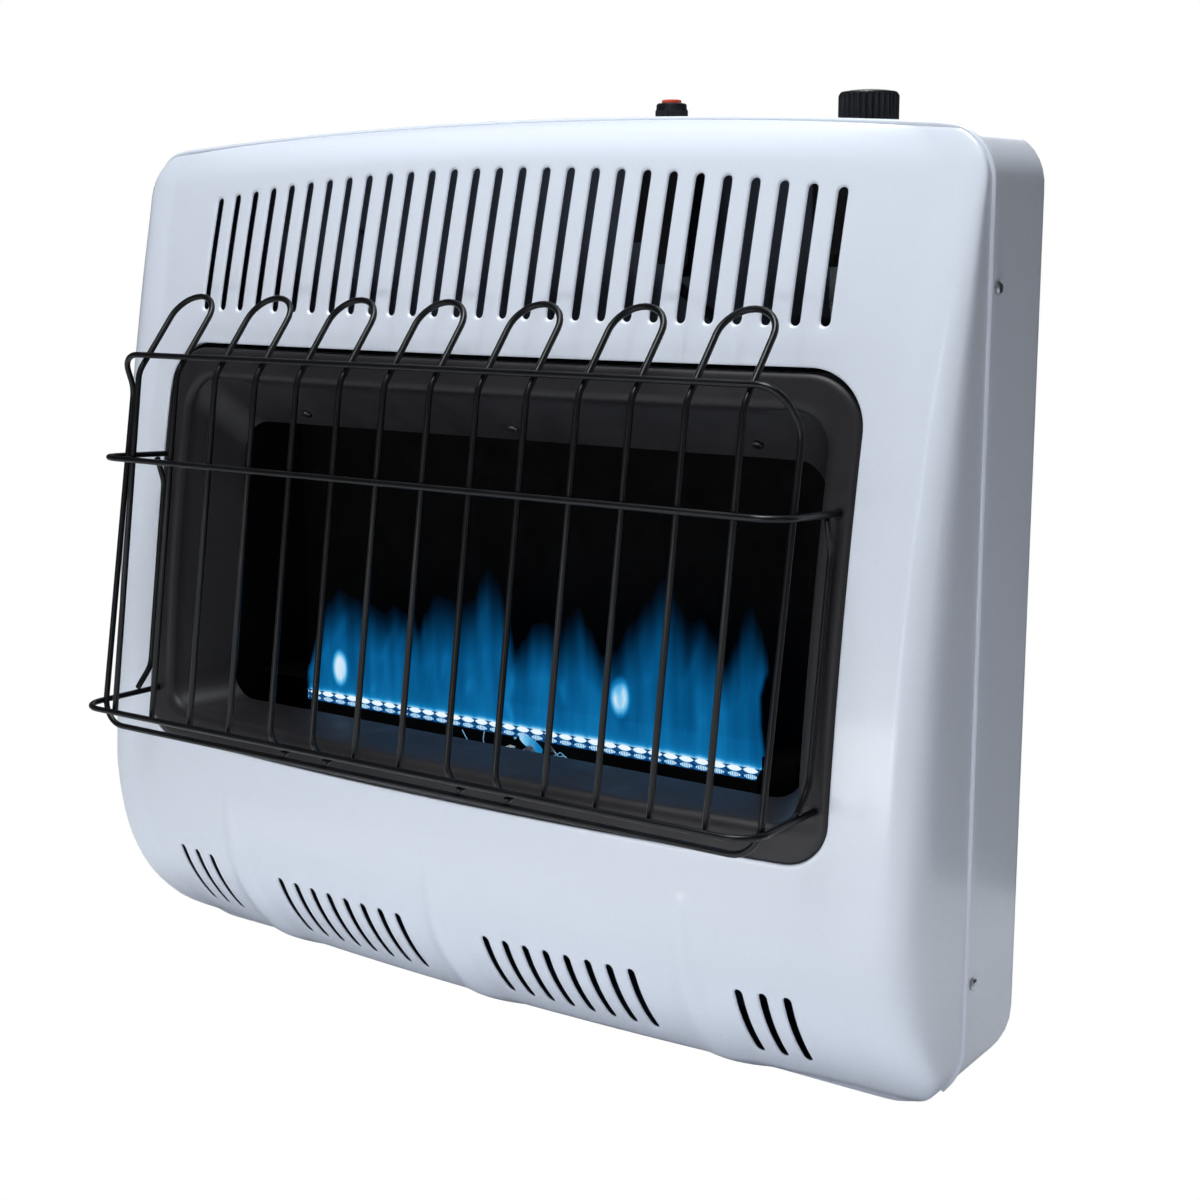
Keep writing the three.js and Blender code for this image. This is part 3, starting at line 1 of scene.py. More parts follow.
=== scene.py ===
import bpy
import numpy as np
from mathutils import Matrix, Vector


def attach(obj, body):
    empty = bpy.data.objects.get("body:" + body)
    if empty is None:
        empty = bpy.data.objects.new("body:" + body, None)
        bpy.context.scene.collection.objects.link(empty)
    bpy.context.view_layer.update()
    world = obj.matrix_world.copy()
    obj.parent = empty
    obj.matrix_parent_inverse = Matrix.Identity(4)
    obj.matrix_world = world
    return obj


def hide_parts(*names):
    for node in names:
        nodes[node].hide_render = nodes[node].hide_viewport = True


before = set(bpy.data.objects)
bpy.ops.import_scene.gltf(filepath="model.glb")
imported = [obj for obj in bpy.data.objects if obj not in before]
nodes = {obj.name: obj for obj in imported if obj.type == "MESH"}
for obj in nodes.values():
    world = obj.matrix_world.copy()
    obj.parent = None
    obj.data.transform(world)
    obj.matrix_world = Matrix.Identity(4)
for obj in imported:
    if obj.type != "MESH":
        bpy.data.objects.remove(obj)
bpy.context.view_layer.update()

# Rear case: one wrap of sheet steel behind the seam, rounded at its corners and arched along the top.
# It is pressed, welded and powder coated in gloss white, and the back panel closes it.
FLOOR = 305.75
HALF_WIDTH = 343
TOP_CORNER, FOOT_CORNER = 33, 50
SEAM = -75
TOP_EDGE = 603.5
TOP_ARCH = 11.2
SHEET = 1.2
KNOB_PLACE, IGNITER_PLACE = (243.5, -37), (101, -37)
KNOB_CELL, KNOB_HOLE = 27, 21.3
KEYHOLE_PLACE, KEYHOLE_FOOT, KEYHOLE_HEAD = 203, 520, 538


def to_metres(points):
    """Turns millimetres counted up from the heater's foot into the frame: height less FLOOR, over 1000."""
    points = np.asarray(points, float)
    return (points - np.array([0, 0, FLOOR])) / 1000


def unit(value):
    """Holds a value between 0 and 1."""
    return np.clip(value, 0, 1)


def places_of(*parts):
    """Coordinates as an array of places; what is smaller is repeated."""
    return np.stack(np.broadcast_arrays(*parts), -1)


def quarter_turn(count):
    """Even angles from 0 to a right angle."""
    return np.linspace(0, np.pi / 2, count)


def full_turn(count):
    """Even angles once round, the first not repeated."""
    return np.linspace(0, 2 * np.pi, count, endpoint=False)


def grid_faces(rows, columns, closed_rows=False, closed_columns=False):
    """Quads of a grid: each takes (row, column), its right neighbour, and the two above them."""
    row = np.arange(rows if closed_rows else rows - 1)
    column = np.arange(columns if closed_columns else columns - 1)
    row, column = np.meshgrid(row, column, indexing="ij")
    above, right = (row + 1) % rows, (column + 1) % columns
    low, high = row * columns, above * columns
    return np.stack([low + column, low + right, high + right, high + column], -1).reshape(-1, 4)


def new_object(name, data):
    """Adds an object that holds a mesh, a lamp or a camera to the scene."""
    thing = bpy.data.objects.new(name, data)
    bpy.context.scene.collection.objects.link(thing)
    return thing


def merged(meshes):
    """Several meshes, each its points and faces, as one."""
    points, faces = zip(*meshes)
    first = np.cumsum([0] + [len(part) for part in points])
    return np.concatenate(points), np.concatenate([part + start for part, start in zip(faces, first)])


def shade_smooth(mesh, sharp):
    """Smooth shading, but for edges that turn by more than sharp degrees."""
    mesh.polygons.foreach_set("use_smooth", [True] * len(mesh.polygons))
    mesh.set_sharp_from_angle(angle=np.radians(sharp))


def make_piece(name, points, faces, material, body="cabinet", sharp=35):
    """A mesh of points in millimetres: doubles within a micron become one, and flat quads and folds, which
    have the same corners twice, drop out."""
    points = to_metres(np.asarray(points, float).reshape(-1, 3))
    kept, place = np.unique(np.round(points, 6), axis=0, return_inverse=True)
    place = place.reshape(-1)
    rings = []
    for quad in place[np.asarray(faces)]:
        corners = list(dict.fromkeys(quad.tolist()))
        if len(corners) > 2:
            rings.append(corners)
    uses = {}
    for ring in rings:
        uses[frozenset(ring)] = uses.get(frozenset(ring), 0) + 1
    rings = [ring for ring in rings if uses[frozenset(ring)] == 1]
    mesh = bpy.data.meshes.new(name)
    mesh.from_pydata(kept.tolist(), [], rings)
    shade_smooth(mesh, sharp)
    mesh.materials.append(material)
    piece = new_object(name, mesh)
    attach(piece, body)
    return piece


def paint_nodes(name):
    """A new material with its shader and the object coordinates that its patterns read."""
    material = bpy.data.materials.new(name)
    material.use_nodes = True
    tree = material.node_tree
    shader = tree.nodes["Principled BSDF"]
    place = tree.nodes.new("ShaderNodeTexCoord").outputs["Object"]
    return material, tree, shader, place


def feed(tree, node, inputs):
    """Gives each named input its value, or a link where the value is another node's output."""
    for name, value in inputs.items():
        if isinstance(value, bpy.types.NodeSocket):
            tree.links.new(value, node.inputs[name])
        else:
            node.inputs[name].default_value = value


def add_node(tree, kind, output, inputs, **settings):
    """Adds a shader node with its settings and inputs, and gives back the output asked for."""
    node = tree.nodes.new("ShaderNode" + kind)
    for name, value in settings.items():
        setattr(node, name, value)
    feed(tree, node, inputs)
    return node.outputs[output]


def noise(tree, place, scale, detail=3, rough=0.55):
    """Cloudy pattern in object space, scale counted per metre."""
    inputs = {"Vector": place, "Scale": scale, "Detail": detail, "Roughness": rough}
    return add_node(tree, "TexNoise", "Fac", inputs)


def blend_colours(tree, share, stops):
    """Colour ramp: share picks between (place, sRGB colour) stops."""
    ramp = tree.nodes.new("ShaderNodeValToRGB")
    while len(ramp.color_ramp.elements) < len(stops):
        ramp.color_ramp.elements.new(0.5)
    for element, (at, colour) in zip(ramp.color_ramp.elements, stops):
        element.position = at
        element.color = (*srgb(colour), 1)
    feed(tree, ramp, {"Fac": share})
    return ramp.outputs["Color"]


def srgb(colour):
    """Screen values from 0 to 255 as linear light."""
    share = np.asarray(colour, float) / 255
    return tuple(np.where(share <= 0.04045, share / 12.92, ((share + 0.055) / 1.055) ** 2.4).tolist())


def spread(tree, share, low, high):
    """Stretches the middle of a pattern, 0.3 to 0.7, to low..high."""
    limits = {"From Min": 0.3, "From Max": 0.7, "To Min": low, "To Max": high}
    return add_node(tree, "MapRange", "Result", {"Value": share, **limits})


def surface(name, light, dark, stops, cloud, rough, patches, grain, depth, shine):
    """A finish in two close tones: cloud gives the noise that the tones follow between the ramp's stops,
    patches the scale at which it is duller or shinier, grain the noise of a bump with its depth in metres."""
    material, tree, shader, place = paint_nodes(name)
    tone = blend_colours(tree, noise(tree, place, *cloud), [(stops[0], dark), (stops[1], light)])
    bump = {"Strength": 1, "Distance": depth, "Height": noise(tree, place, *grain)}
    feed(tree, shader, {"Base Color": tone, "Roughness": spread(tree, noise(tree, place, patches), *rough),
                        "Normal": add_node(tree, "Bump", "Normal", bump), **shine})
    return material


def powder_coat(name, light, dark, rough, peel, depth):
    """Powder coat: a fine mottle between two tones, orange peel about 2 mm across, and a clear gloss."""
    return surface(name, light, dark, (0.3, 0.7), (1600,), rough, 1300, (peel, 2), depth,
                   {"Coat Weight": 0.35, "Coat Roughness": 0.08})


white_coat = powder_coat("white powder coat", (229, 234, 246), (228, 233, 245), (0.27, 0.29), 500, 0.00001)


def arched_top(x):
    """Height of the case top: a flat parabola over the straight run between the corners."""
    return TOP_EDGE + TOP_ARCH * np.maximum(1 - (x / (HALF_WIDTH - TOP_CORNER)) ** 2, 0)


def outline_half(z):
    """Half the heater's width at a height: full width less what the round corners take at foot and head."""
    low = np.clip(FOOT_CORNER - z, 0, FOOT_CORNER)
    high = np.clip(z - TOP_EDGE + TOP_CORNER, 0, TOP_CORNER)
    return (HALF_WIDTH - FOOT_CORNER + np.sqrt(FOOT_CORNER ** 2 - low ** 2)
            - TOP_CORNER + np.sqrt(TOP_CORNER ** 2 - high ** 2))


def round_hole(loop, low, high, radius, roll, between=(0, 0.45)):
    """Rings from a cell's border in to a hole with round ends. Each border point looks to the nearest point
    of the core between low and high; the edge lies a radius from that core, and the last rings roll under
    in a quarter circle. Gives places (ring, point, 2) and each ring's depth below the sheet."""
    core = np.clip(loop, low, high)
    way = loop - core
    way = way / np.linalg.norm(way, axis=1, keepdims=True)
    turn = quarter_turn(5)
    start = core + way * (radius + roll)
    rings = [loop + (start - loop) * share for share in between]
    rings += [core + way * (radius + roll * (1 - np.sin(angle))) for angle in turn]
    depth = [0] * len(between) + list(roll * (1 - np.cos(turn)))
    return np.stack(rings), np.array(depth)


def cell_border(columns, low_row, high_row, low_column, high_column):
    """Indices round a block of cells, counter-clockwise from its lowest left corner."""
    across = np.arange(low_column, high_column)
    up = np.arange(low_row, high_row)
    return np.concatenate([
        low_row * columns + across, up * columns + high_column,
        high_row * columns + across[::-1] + 1, (up[::-1] + 1) * columns + low_column])


def runs(stops, steps):
    """Places between the stops, each run split into its number of even steps."""
    places = [np.linspace(low, high, count + 1)[1:] for low, high, count in zip(stops[:-1], stops[1:], steps)]
    return np.concatenate([stops[:1], *places])


def even_columns(stops, steps):
    """Runs from the middle to the right, mirrored to the left."""
    right = runs(stops, steps)
    return np.concatenate([-right[:0:-1], right])


def pierced(skin, cells, holes, place, plane=(0, 2), closed=False):
    """Takes the cells out of a skin's faces and gives each a patch of rings down to its hole. The holes lie
    in a plane of two axes; place turns a place in it and its depth below the sheet into x, y and z. A hole's
    radius may differ at its foot and its head."""
    rows, columns = skin.shape[:2]
    faces = grid_faces(rows, columns, closed_columns=closed)
    row, column = faces[:, 0] // columns, faces[:, 0] % columns
    keep = np.ones(len(faces), bool)
    patches = []
    for (low_row, high_row, low_column, high_column), (low, high, radius, roll) in zip(cells, holes):
        keep &= ~((row >= low_row) & (row < high_row) & (column >= low_column) & (column < high_column))
        border = cell_border(columns, low_row, high_row, low_column, high_column)
        loop = skin.reshape(-1, 3)[border][:, plane]
        foot, head = np.broadcast_to(radius, 2)
        up = unit((loop[:, 1:] - low[1]) / max(0.4 * (high[1] - low[1]), 0.1))
        ring, sink = round_hole(loop, low, high, foot + (head - foot) * up, roll)
        ring = place(ring[..., 0], ring[..., 1], sink[:, None])
        patches.append((ring.reshape(-1, 3), grid_faces(len(sink), len(border), closed_columns=True)))
    return merged([(skin.reshape(-1, 3), faces[keep]), *patches])


def make_shell(name, points, faces, thickness, materials):
    """An outer skin given its sheet thickness inwards by Solidify, which is then applied. The second
    material is for the inside and the sheet's edge."""
    piece = make_piece(name, points, faces, materials[0])
    piece.data.materials.append(materials[1])
    wall = piece.modifiers.new("sheet thickness", "SOLIDIFY")
    wall.thickness, wall.offset = thickness / 1000, -1
    wall.material_offset = 1
    shell = bpy.data.meshes.new_from_object(piece.evaluated_get(bpy.context.evaluated_depsgraph_get()))
    piece.modifiers.clear()
    piece.data = shell
    shade_smooth(shell, 40)
    return piece


def build_case():
    """Wrap seen from outside: the outline loop is the columns, the depth from seam to wall the rows. On the
    top a block of cells gives way to the round hole that the knob sinks through."""
    flat, foot = HALF_WIDTH - TOP_CORNER, HALF_WIDTH - FOOT_CORNER
    knob_x, knob_y = KNOB_PLACE
    left, right = knob_x - KNOB_CELL, knob_x + KNOB_CELL
    turn = quarter_turn(21)
    depth = np.concatenate([[SEAM + 0.3, SEAM + 0.45, SEAM + 0.8],
                            np.linspace(knob_y - KNOB_CELL, knob_y + KNOB_CELL, 13), [-5, -1.5]])
    roll = np.concatenate([[0.5, 0.15], np.zeros(len(depth) - 2)])
    across = runs([-flat, left, right, flat], [29, 12, 4])[1:-1]
    corners = [(-foot, FOOT_CORNER, np.pi), (foot, FOOT_CORNER, 1.5 * np.pi),
               (flat, TOP_EDGE - TOP_CORNER, 0), (-flat, TOP_EDGE - TOP_CORNER, 0.5 * np.pi)]
    arcs = [places_of(x, z, np.cos(start + turn), np.sin(start + turn)) for x, z, start in corners]
    top = places_of(across, arched_top(across), 2 * TOP_ARCH * across / flat ** 2, 1)[::-1]
    loop = np.concatenate(arcs[:3] + [top] + arcs[3:])
    out = np.repeat([FOOT_CORNER, TOP_CORNER, 0, TOP_CORNER], [42, 21, len(top), 21]) - roll[:, None]
    points = places_of(loop[:, 0] + loop[:, 2] * out, depth[:, None], loop[:, 1] + loop[:, 3] * out)
    first = 63 + int(np.argmin(np.abs(top[:, 0] - right)))
    centre = np.array(KNOB_PLACE)
    points, faces = pierced(points, [(3, 15, first, first + 12)], [(centre, centre, KNOB_HOLE, 0.8)],
                            lambda x, y, sink: places_of(x, y, arched_top(x) - sink), (0, 1), True)
    return points, faces[:, ::-1]


def build_plate():
    """Flat rear panel on the wall face: two keyholes a stud apart and three columns of four air slots."""
    hold, rise_from = 269, 560
    x = even_columns([0, 66, 137, hold, HALF_WIDTH], [12, 5, 24, 8])
    z = np.concatenate([50 * (1 - np.cos(quarter_turn(9))), runs([54, 150, 500, rise_from], [24, 8, 10])])
    z = z[:, None] + 0 * x
    rise = np.sin(quarter_turn(11))[1:, None]
    z = np.concatenate([z, rise_from + (arched_top(x) - rise_from) * rise])
    level = np.concatenate([z[:-10], rise_from + (TOP_EDGE - rise_from) * rise + 0 * x])
    closing = hold + (np.abs(x) - hold) * (outline_half(level) - hold) / (HALF_WIDTH - hold)
    skin = places_of(np.where(np.abs(x) > hold, np.sign(x) * closing, x), 0, z)
    middle = len(x) // 2
    cells, holes = [], []
    for start, place in ((middle - 41, -KEYHOLE_PLACE), (middle - 12, 0), (middle + 17, KEYHOLE_PLACE)):
        for row in range(4):
            level = 66 + 24 * row
            cells.append((9 + 6 * row, 15 + 6 * row, start, start + 24))
            holes.append(((place - 56, level), (place + 56, level), 4, 0.6))
        if place:
            cells.append((41, 51, start + 8, start + 16))
            holes.append(((place, KEYHOLE_FOOT), (place, KEYHOLE_HEAD), (6.5, 3), 0.6))
    points, faces = pierced(skin, cells, holes, lambda x, z, sink: places_of(x, -sink, z))
    return points, faces[:, ::-1]


# Painted shade: the inside of case, back plate and cover is a slate coat made darker than the white outside,
# partly its own grey and partly the shade inside the case.
slate_shade_coat = powder_coat("slate inside with painted shade", (108, 117, 136), (96, 105, 124), (0.5, 0.65), 420, 0.00002)
rear_case = make_shell("rear_case_wrap", *build_case(), SHEET, (white_coat, slate_shade_coat))
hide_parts("rear_case")
rear_plate = make_shell("rear_plate", *build_plate(), SHEET, (white_coat, slate_shade_coat))
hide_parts("back_panel")

# Gas train between the back panel and the controls: regulator, valve on its bracket, aluminium supply and
# burner pipes, pilot pipe, thermocouple lead, ignition lead, and the brass fitting under the foot.
def worn_metal(name, light, dark, rough, grain, depth, metal=1):
    """Plated, cast or drawn metal: two close tones in a cloud, a film that dulls it in patches, a grain."""
    return surface(name, light, dark, (0.3, 0.72), (60, 4), rough, 150, (grain,), depth,
                   {"Metallic": metal})


def dress(material, *names):
    """Gives carried-over solids a material."""
    for name in names:
        nodes[name].data.materials[0] = material


tube = worn_metal("drawn aluminium tube", (208, 210, 213), (184, 187, 191), (0.24, 0.38), 900, 0.00001)
brass = worn_metal("machined brass", (206, 172, 104), (170, 136, 74), (0.26, 0.42), 1100, 0.00001)
copper = worn_metal("drawn copper", (196, 126, 88), (150, 88, 58), (0.26, 0.45), 900, 0.00001)
zinc = worn_metal("zinc plate", (204, 207, 212), (170, 174, 180), (0.26, 0.42), 1300, 0.00002)
glaze = worn_metal("glazed ceramic", (236, 232, 222), (222, 216, 204), (0.2, 0.32), 700, 0.00001, 0)
rubber = worn_metal("black lead sleeve", (24, 25, 29), (15, 16, 19), (0.5, 0.65), 1200, 0.00002, 0)
dark_cast = worn_metal("blackened casting", (44, 45, 50), (24, 25, 29), (0.5, 0.7), 1500, 0.00006, 0.4)
slate_plate = worn_metal("painted bracket", (56, 62, 73), (46, 51, 61), (0.5, 0.62), 900, 0.00002, 0)
dress(dark_cast, "regulator", "gas_valve", "valve_plunger", "neck_nut", "valve_stem")
dress(slate_plate, "valve_bracket")
dress(tube, "inlet_pipe", "burner_pipe", "pilot_pipe")
dress(brass, "orifice_holder", "inlet_fitting")
dress(copper, "thermocouple", "thermocouple_lead", "thermostat_bulb", "capillary")
dress(zinc, "bulb_clip", "pilot_bracket", "pilot_burner", "air_shutter")
dress(glaze, "electrode")
dress(rubber, "ignition_lead")

# Firebox, burner and heat deflector: folded steel blackened by heat and soot. The firebox is the dullest,
# so that the flames stand before a nearly black wall.
def heat_black(name, light, dark, rough, shine):
    """Sooty steel: near black with a dry bloom in patches and a coarse, matt grain."""
    return surface(name, light, dark, (0.38, 0.8), (22, 6, 0.62), rough, 70, (1600,), 0.00005,
                   {"Specular IOR Level": shine})


soot = heat_black("sooty firebox", (9, 9, 11), (3, 3, 4), (0.75, 0.95), 0.08)
burner_black = heat_black("burner steel", (26, 27, 31), (12, 12, 14), (0.55, 0.8), 0.2)
dress(soot, "firebox", "burner_bracket_left", "burner_bracket_right")
dress(burner_black, "burner", "heat_deflector")

# Port strip: two rows of lens-shaped ports behind a crimped ribbon. The upper row burns white, the lower one
# glows through a fine comb, and the ribbon between them is dark but for a faint blue glow painted on it.
PORT_PITCH, PORT_PHASE = 12.34, 5.6
STRIP_LEFT, STRIP_RIGHT, STRIP_FRONT, STRIP_HEAD = -200, 200, -79, 202.9


def lens_share(x, z, middle, half_width, half_height):
    """One at the centre line of a port, zero at its lens-shaped edge, with pointed ends left and right."""
    off = (x - PORT_PHASE) / PORT_PITCH
    off = (off - np.round(off)) * PORT_PITCH / half_width
    edge = half_height * np.maximum(1 - np.abs(off) ** 2.4, 0)
    return np.clip((edge - np.abs(z - middle)) / half_height, -1, 1)


def port_shares(x, z):
    """The lens shares of the strip's upper and lower rows of ports."""
    return lens_share(x, z, 201, 6.1, 2.2), lens_share(x, z, 196.9, 5.8, 1.9)


def comb_wave(x):
    """The fine comb in front of the lower row: 1 on a tooth, -1 between two."""
    return np.cos(2 * np.pi * x / 1.37)


def glow_nodes(name, colours):
    """A dark metal that shines by its own vertex value, 'glow': the ramp gives the light's colour."""
    material, tree, shader, place = paint_nodes(name)
    glow = add_node(tree, "Attribute", "Fac", {}, attribute_name="glow")
    ragged = spread(tree, noise(tree, place, 1400), 0.75, 1.15)
    share = add_node(tree, "Math", 0, {0: glow, 1: ragged}, operation="MULTIPLY")
    tone = blend_colours(tree, noise(tree, place, 300), [(0.3, (10, 12, 16)), (0.7, (26, 30, 38))])
    feed(tree, shader, {"Emission Color": blend_colours(tree, share, colours), "Emission Strength": 1,
                        "Base Color": tone, "Metallic": 0.6, "Roughness": 0.5})
    return material


def set_values(piece, name, values):
    """Stores one value at each vertex of a piece."""
    attribute = piece.data.attributes.new(name, "FLOAT", "POINT")
    attribute.data.foreach_set("value", np.asarray(values, np.float32))


def vertex_places(piece):
    """Vertex places of a piece in millimetres, heights counted from the heater's foot."""
    flat = np.empty(len(piece.data.vertices) * 3)
    piece.data.vertices.foreach_get("co", flat)
    return flat.reshape(-1, 3) * 1000 + [0, 0, FLOOR]


def build_strip():
    """Front face with sunk ports and a raised ribbon, a lip along the top and a flat back."""
    x = np.arange(STRIP_LEFT, STRIP_RIGHT + 0.1, 0.4)
    grid_x, grid_z = np.meshgrid(x, np.linspace(195, STRIP_HEAD, 40))
    upper, lower = port_shares(grid_x, grid_z)
    sunk = 0.9 * unit(np.maximum(upper, lower) * 3) - 0.25 * (comb_wave(grid_x) > -0.1) * (lower > 0.1)
    front = places_of(grid_x, STRIP_FRONT + 0.3 + sunk, grid_z)
    back = front[[-1, 0]].copy()
    back[..., 1] = STRIP_FRONT + 2.9
    skin = np.concatenate([front, back])
    rows, columns = skin.shape[:2]
    faces = grid_faces(rows, columns, closed_rows=True)
    ends = []
    for column in (0, columns - 1):
        ring = np.arange(rows) * columns + column
        middle = np.full(rows, ring[-1])
        quads = np.stack([middle, ring, np.roll(ring, -1), np.roll(ring, -1)], -1)
        ends.append(quads if column == 0 else quads[:, ::-1])
    return skin, np.concatenate([faces, *ends])


port_glow = glow_nodes("burning ports", [(0, (4, 22, 44)), (0.25, (12, 86, 150)), (0.6, (150, 215, 250)),
                                         (0.9, (236, 248, 255))])
strip = make_piece("port_ribbon", *build_strip(), port_glow, sharp=60)
x, y, z = vertex_places(strip).T
upper, lower = port_shares(x, z)
glow = np.maximum(np.clip(upper * 4, 0, 1.05), unit(lower * 3.4) * (0.62 + 0.38 * comb_wave(x)))
# Painted light: the ribbon round the ports, its back and its lip get a faint blue glow for the flames' light
# on the metal.
painted_ribbon_glow = 0.16 + 0.1 * np.sin(x * 0.9 + z * 1.7)
set_values(strip, "glow", np.where(y < STRIP_FRONT + 1.9, np.maximum(glow, painted_ribbon_glow), 0.05))
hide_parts("port_strip")

# Flames: a thin curtain of blue gas flame over the ports, brighter in tongues and clear at its ragged top.
# Burning gas has no paint: it shines by its own vertex value.
def gas_light(name, colours, soft):
    """Clear gas that shines: the vertex value 'light' with a fine upright grain gives colour and, times soft,
    cover."""
    material, tree, shader, place = paint_nodes(name)
    heat = add_node(tree, "Attribute", "Fac", {}, attribute_name="light")
    upright = {"Vector": place, "Scale": (1, 1, 0.12), "Rotation": (0, 0.1, 0)}
    grain = noise(tree, add_node(tree, "Mapping", "Vector", upright), 110)
    share = add_node(tree, "Math", 0, {0: heat, 1: spread(tree, grain, 0.88, 1.12)}, operation="MULTIPLY")
    cover = add_node(tree, "Math", 0, {0: share, 1: soft}, operation="MULTIPLY", use_clamp=True)
    feed(tree, shader, {"Emission Color": blend_colours(tree, share, colours), "Emission Strength": 1,
                        "Base Color": (0, 0, 0, 1), "Specular IOR Level": 0, "Alpha": cover})
    return material


PEAKS = np.array([
    (-202, 205), (-198, 222), (-189, 244), (-176, 273), (-166, 283), (-153, 278), (-138, 275), (-121, 270),
    (-112, 277), (-101, 273), (-92, 271), (-87, 262), (-81, 275), (-71, 289), (-59, 288), (-47, 285),
    (-38, 289), (-31, 305), (-25, 314), (-16.5, 305), (-8, 284), (-1.4, 257), (6, 265), (16, 278), (27, 280),
    (38, 273), (46.5, 286), (55, 294), (63, 281), (75, 263), (84, 267), (97, 288), (110, 303), (119, 318),
    (125.6, 323), (133, 305), (142, 293), (152, 297), (161, 287), (171, 269), (179, 284), (185, 304),
    (190, 310), (197, 298), (202, 283), (206, 262)]).T


def flame_top(x):
    """Height of the curtain's ragged top: cosine curves through its peaks and notches."""
    places, heights = PEAKS
    low = np.clip(np.searchsorted(places, x) - 1, 0, len(places) - 2)
    share = unit((x - places[low]) / (places[low + 1] - places[low]))
    return heights[low] + (heights[low + 1] - heights[low]) * (1 - np.cos(np.pi * share)) / 2


def streak(x, z, foot, head, width, level):
    """One brighter lick: its distance from the line between foot and head, under a bell curve that fades
    towards both ends."""
    foot, way = np.array(foot, float), np.array(head, float) - np.array(foot, float)
    share = ((x - foot[0]) * way[0] + (z - foot[1]) * way[1]) / (way @ way)
    inside = unit(share)
    off = np.hypot(x - foot[0] - way[0] * inside, z - foot[1] - way[1] * inside)
    return level * np.exp(-(off / width) ** 2) * (0.35 + 0.65 * np.sin(np.pi * inside))


# Each lick's foot and head, width and brightness.
STREAKS = [
    ((-172, 243), (-153, 273), 4, 0.08), ((-126, 234), (-111, 264), 3.5, 0.09),
    ((-91, 243), (-80, 270), 3.5, 0.1), ((-106, 246), (-102, 264), 3, 0.1),
    ((-33, 262), (-23, 303), 6, 0.09), ((-44, 220), (-40, 231), 3, 0.08),
    ((-7, 218), (-1, 250), 3, 0.16), ((-7, 218), (-2, 203), 3, 0.16), ((21, 218), (23, 269), 5, 0.06),
    ((41, 225), (39, 241), 3, 0.09), ((53, 266), (56, 286), 5, 0.06), ((113, 253), (123, 307), 5, 0.06),
    ((140, 250), (153, 289), 3.5, 0.1), ((169, 239), (188, 297), 6, 0.07), ((197, 253), (199, 283), 4, 0.08),
    ((198, 251), (201, 213), 3, 0.1), ((-67, 227), (-63, 251), 3, 0.07), ((-135, 206), (-132, 216), 3, 0.1),
    ((100, 265), (110, 293), 4, 0.05), ((154, 237), (155, 221), 4, 0.05)]
# The two round bright spots in the curtain.
SPOTS = ((-165.8, 223.2), (88.8, 236))


def curtain_heat(x, z):
    """Brightness of the curtain: strongest just over the ports, level in the body, fading under its top."""
    height, above = flame_top(x), z - 203
    share = unit((height + 5 - z) / (0.58 * (height - 203)))
    fade = share ** 1.25 * (1 + 0.25 * share * (1 - share))
    body = 0.43 + 0.12 * np.exp(-above / 18)
    body += 0.03 * np.sin(x * 0.13 + z * 0.02 + 0.6) + 0.02 * np.sin(x * 0.071 - z * 0.05 + 2.1)
    body += 0.03 * np.sin(x * 0.41 + 1.7 * np.sin(x * 0.05) + z * 0.03) * unit((above - 5) / 20)
    for foot, head, width, level in STREAKS:
        body += 1.5 * streak(x, z, foot, head, width, level)
    for middle_x, middle_z in SPOTS:
        body += 0.95 * unit(1.3 - ((x - middle_x) / 7.6) ** 2 - ((z - middle_z) / 13.5) ** 2)
    body += 0.03 * ((z < 218.8 + 0.012 * x) & (x > -10))
    right = np.interp(z, [203, 215, 232, 251, 262, 270], [202, 201, 198.6, 198.2, 201.5, 206])
    edge = unit((right - x) / 3) * unit((x + 201) / 5)
    root = np.exp(-np.maximum(above - 0.2, 0) / 1.5) * (0.5 + 0.35 * port_shares(x, 201)[0])
    return np.clip((body * fade + root) * edge, 0, 1.4)


def slab(columns, rows, thick, bulge):
    """Front and back sheets of the curtain joined round their edge, as one closed grid of rings."""
    grid_x, grid_s = np.meshgrid(np.linspace(-201, 205, columns), np.linspace(0, 1, rows) ** 0.9)
    z = STRIP_HEAD + (flame_top(grid_x) - STRIP_HEAD) * grid_s
    sway = bulge * np.sin(grid_x * 0.045 + grid_s * 2) * grid_s
    half = thick * (1 - 0.85 * grid_s) * np.clip((203.5 - np.abs(grid_x - 2)) / 4, 0.1, 1)
    front, back = (places_of(grid_x, -77.8 + sway + side * half, z) for side in (-1, 1))
    skin = np.concatenate([front, back[::-1]])
    faces = grid_faces(skin.shape[0], columns, closed_rows=True)
    ends = []
    for column in (0, columns - 1):
        ring = np.arange(skin.shape[0]) * columns + column
        low, high = ring[:rows - 1], ring[1:rows]
        far_low, far_high = ring[::-1][:rows - 1], ring[::-1][1:rows]
        quads = np.stack([low, high, far_high, far_low], -1)
        ends.append(quads if column == 0 else quads[:, ::-1])
    return skin, np.concatenate([faces, *ends])


flame_blue = gas_light("burning gas", [(0, (1, 22, 42)), (0.3, (6, 86, 138)), (0.55, (20, 128, 190)),
                                       (0.8, (110, 192, 234)), (1, (214, 234, 250))], 2.6)
curtain = make_piece("flame_curtain", *slab(407, 80, 1.2, 1.5), flame_blue, sharp=180)
x, y, z = vertex_places(curtain).T
set_values(curtain, "light", curtain_heat(x, z) * 0.7)

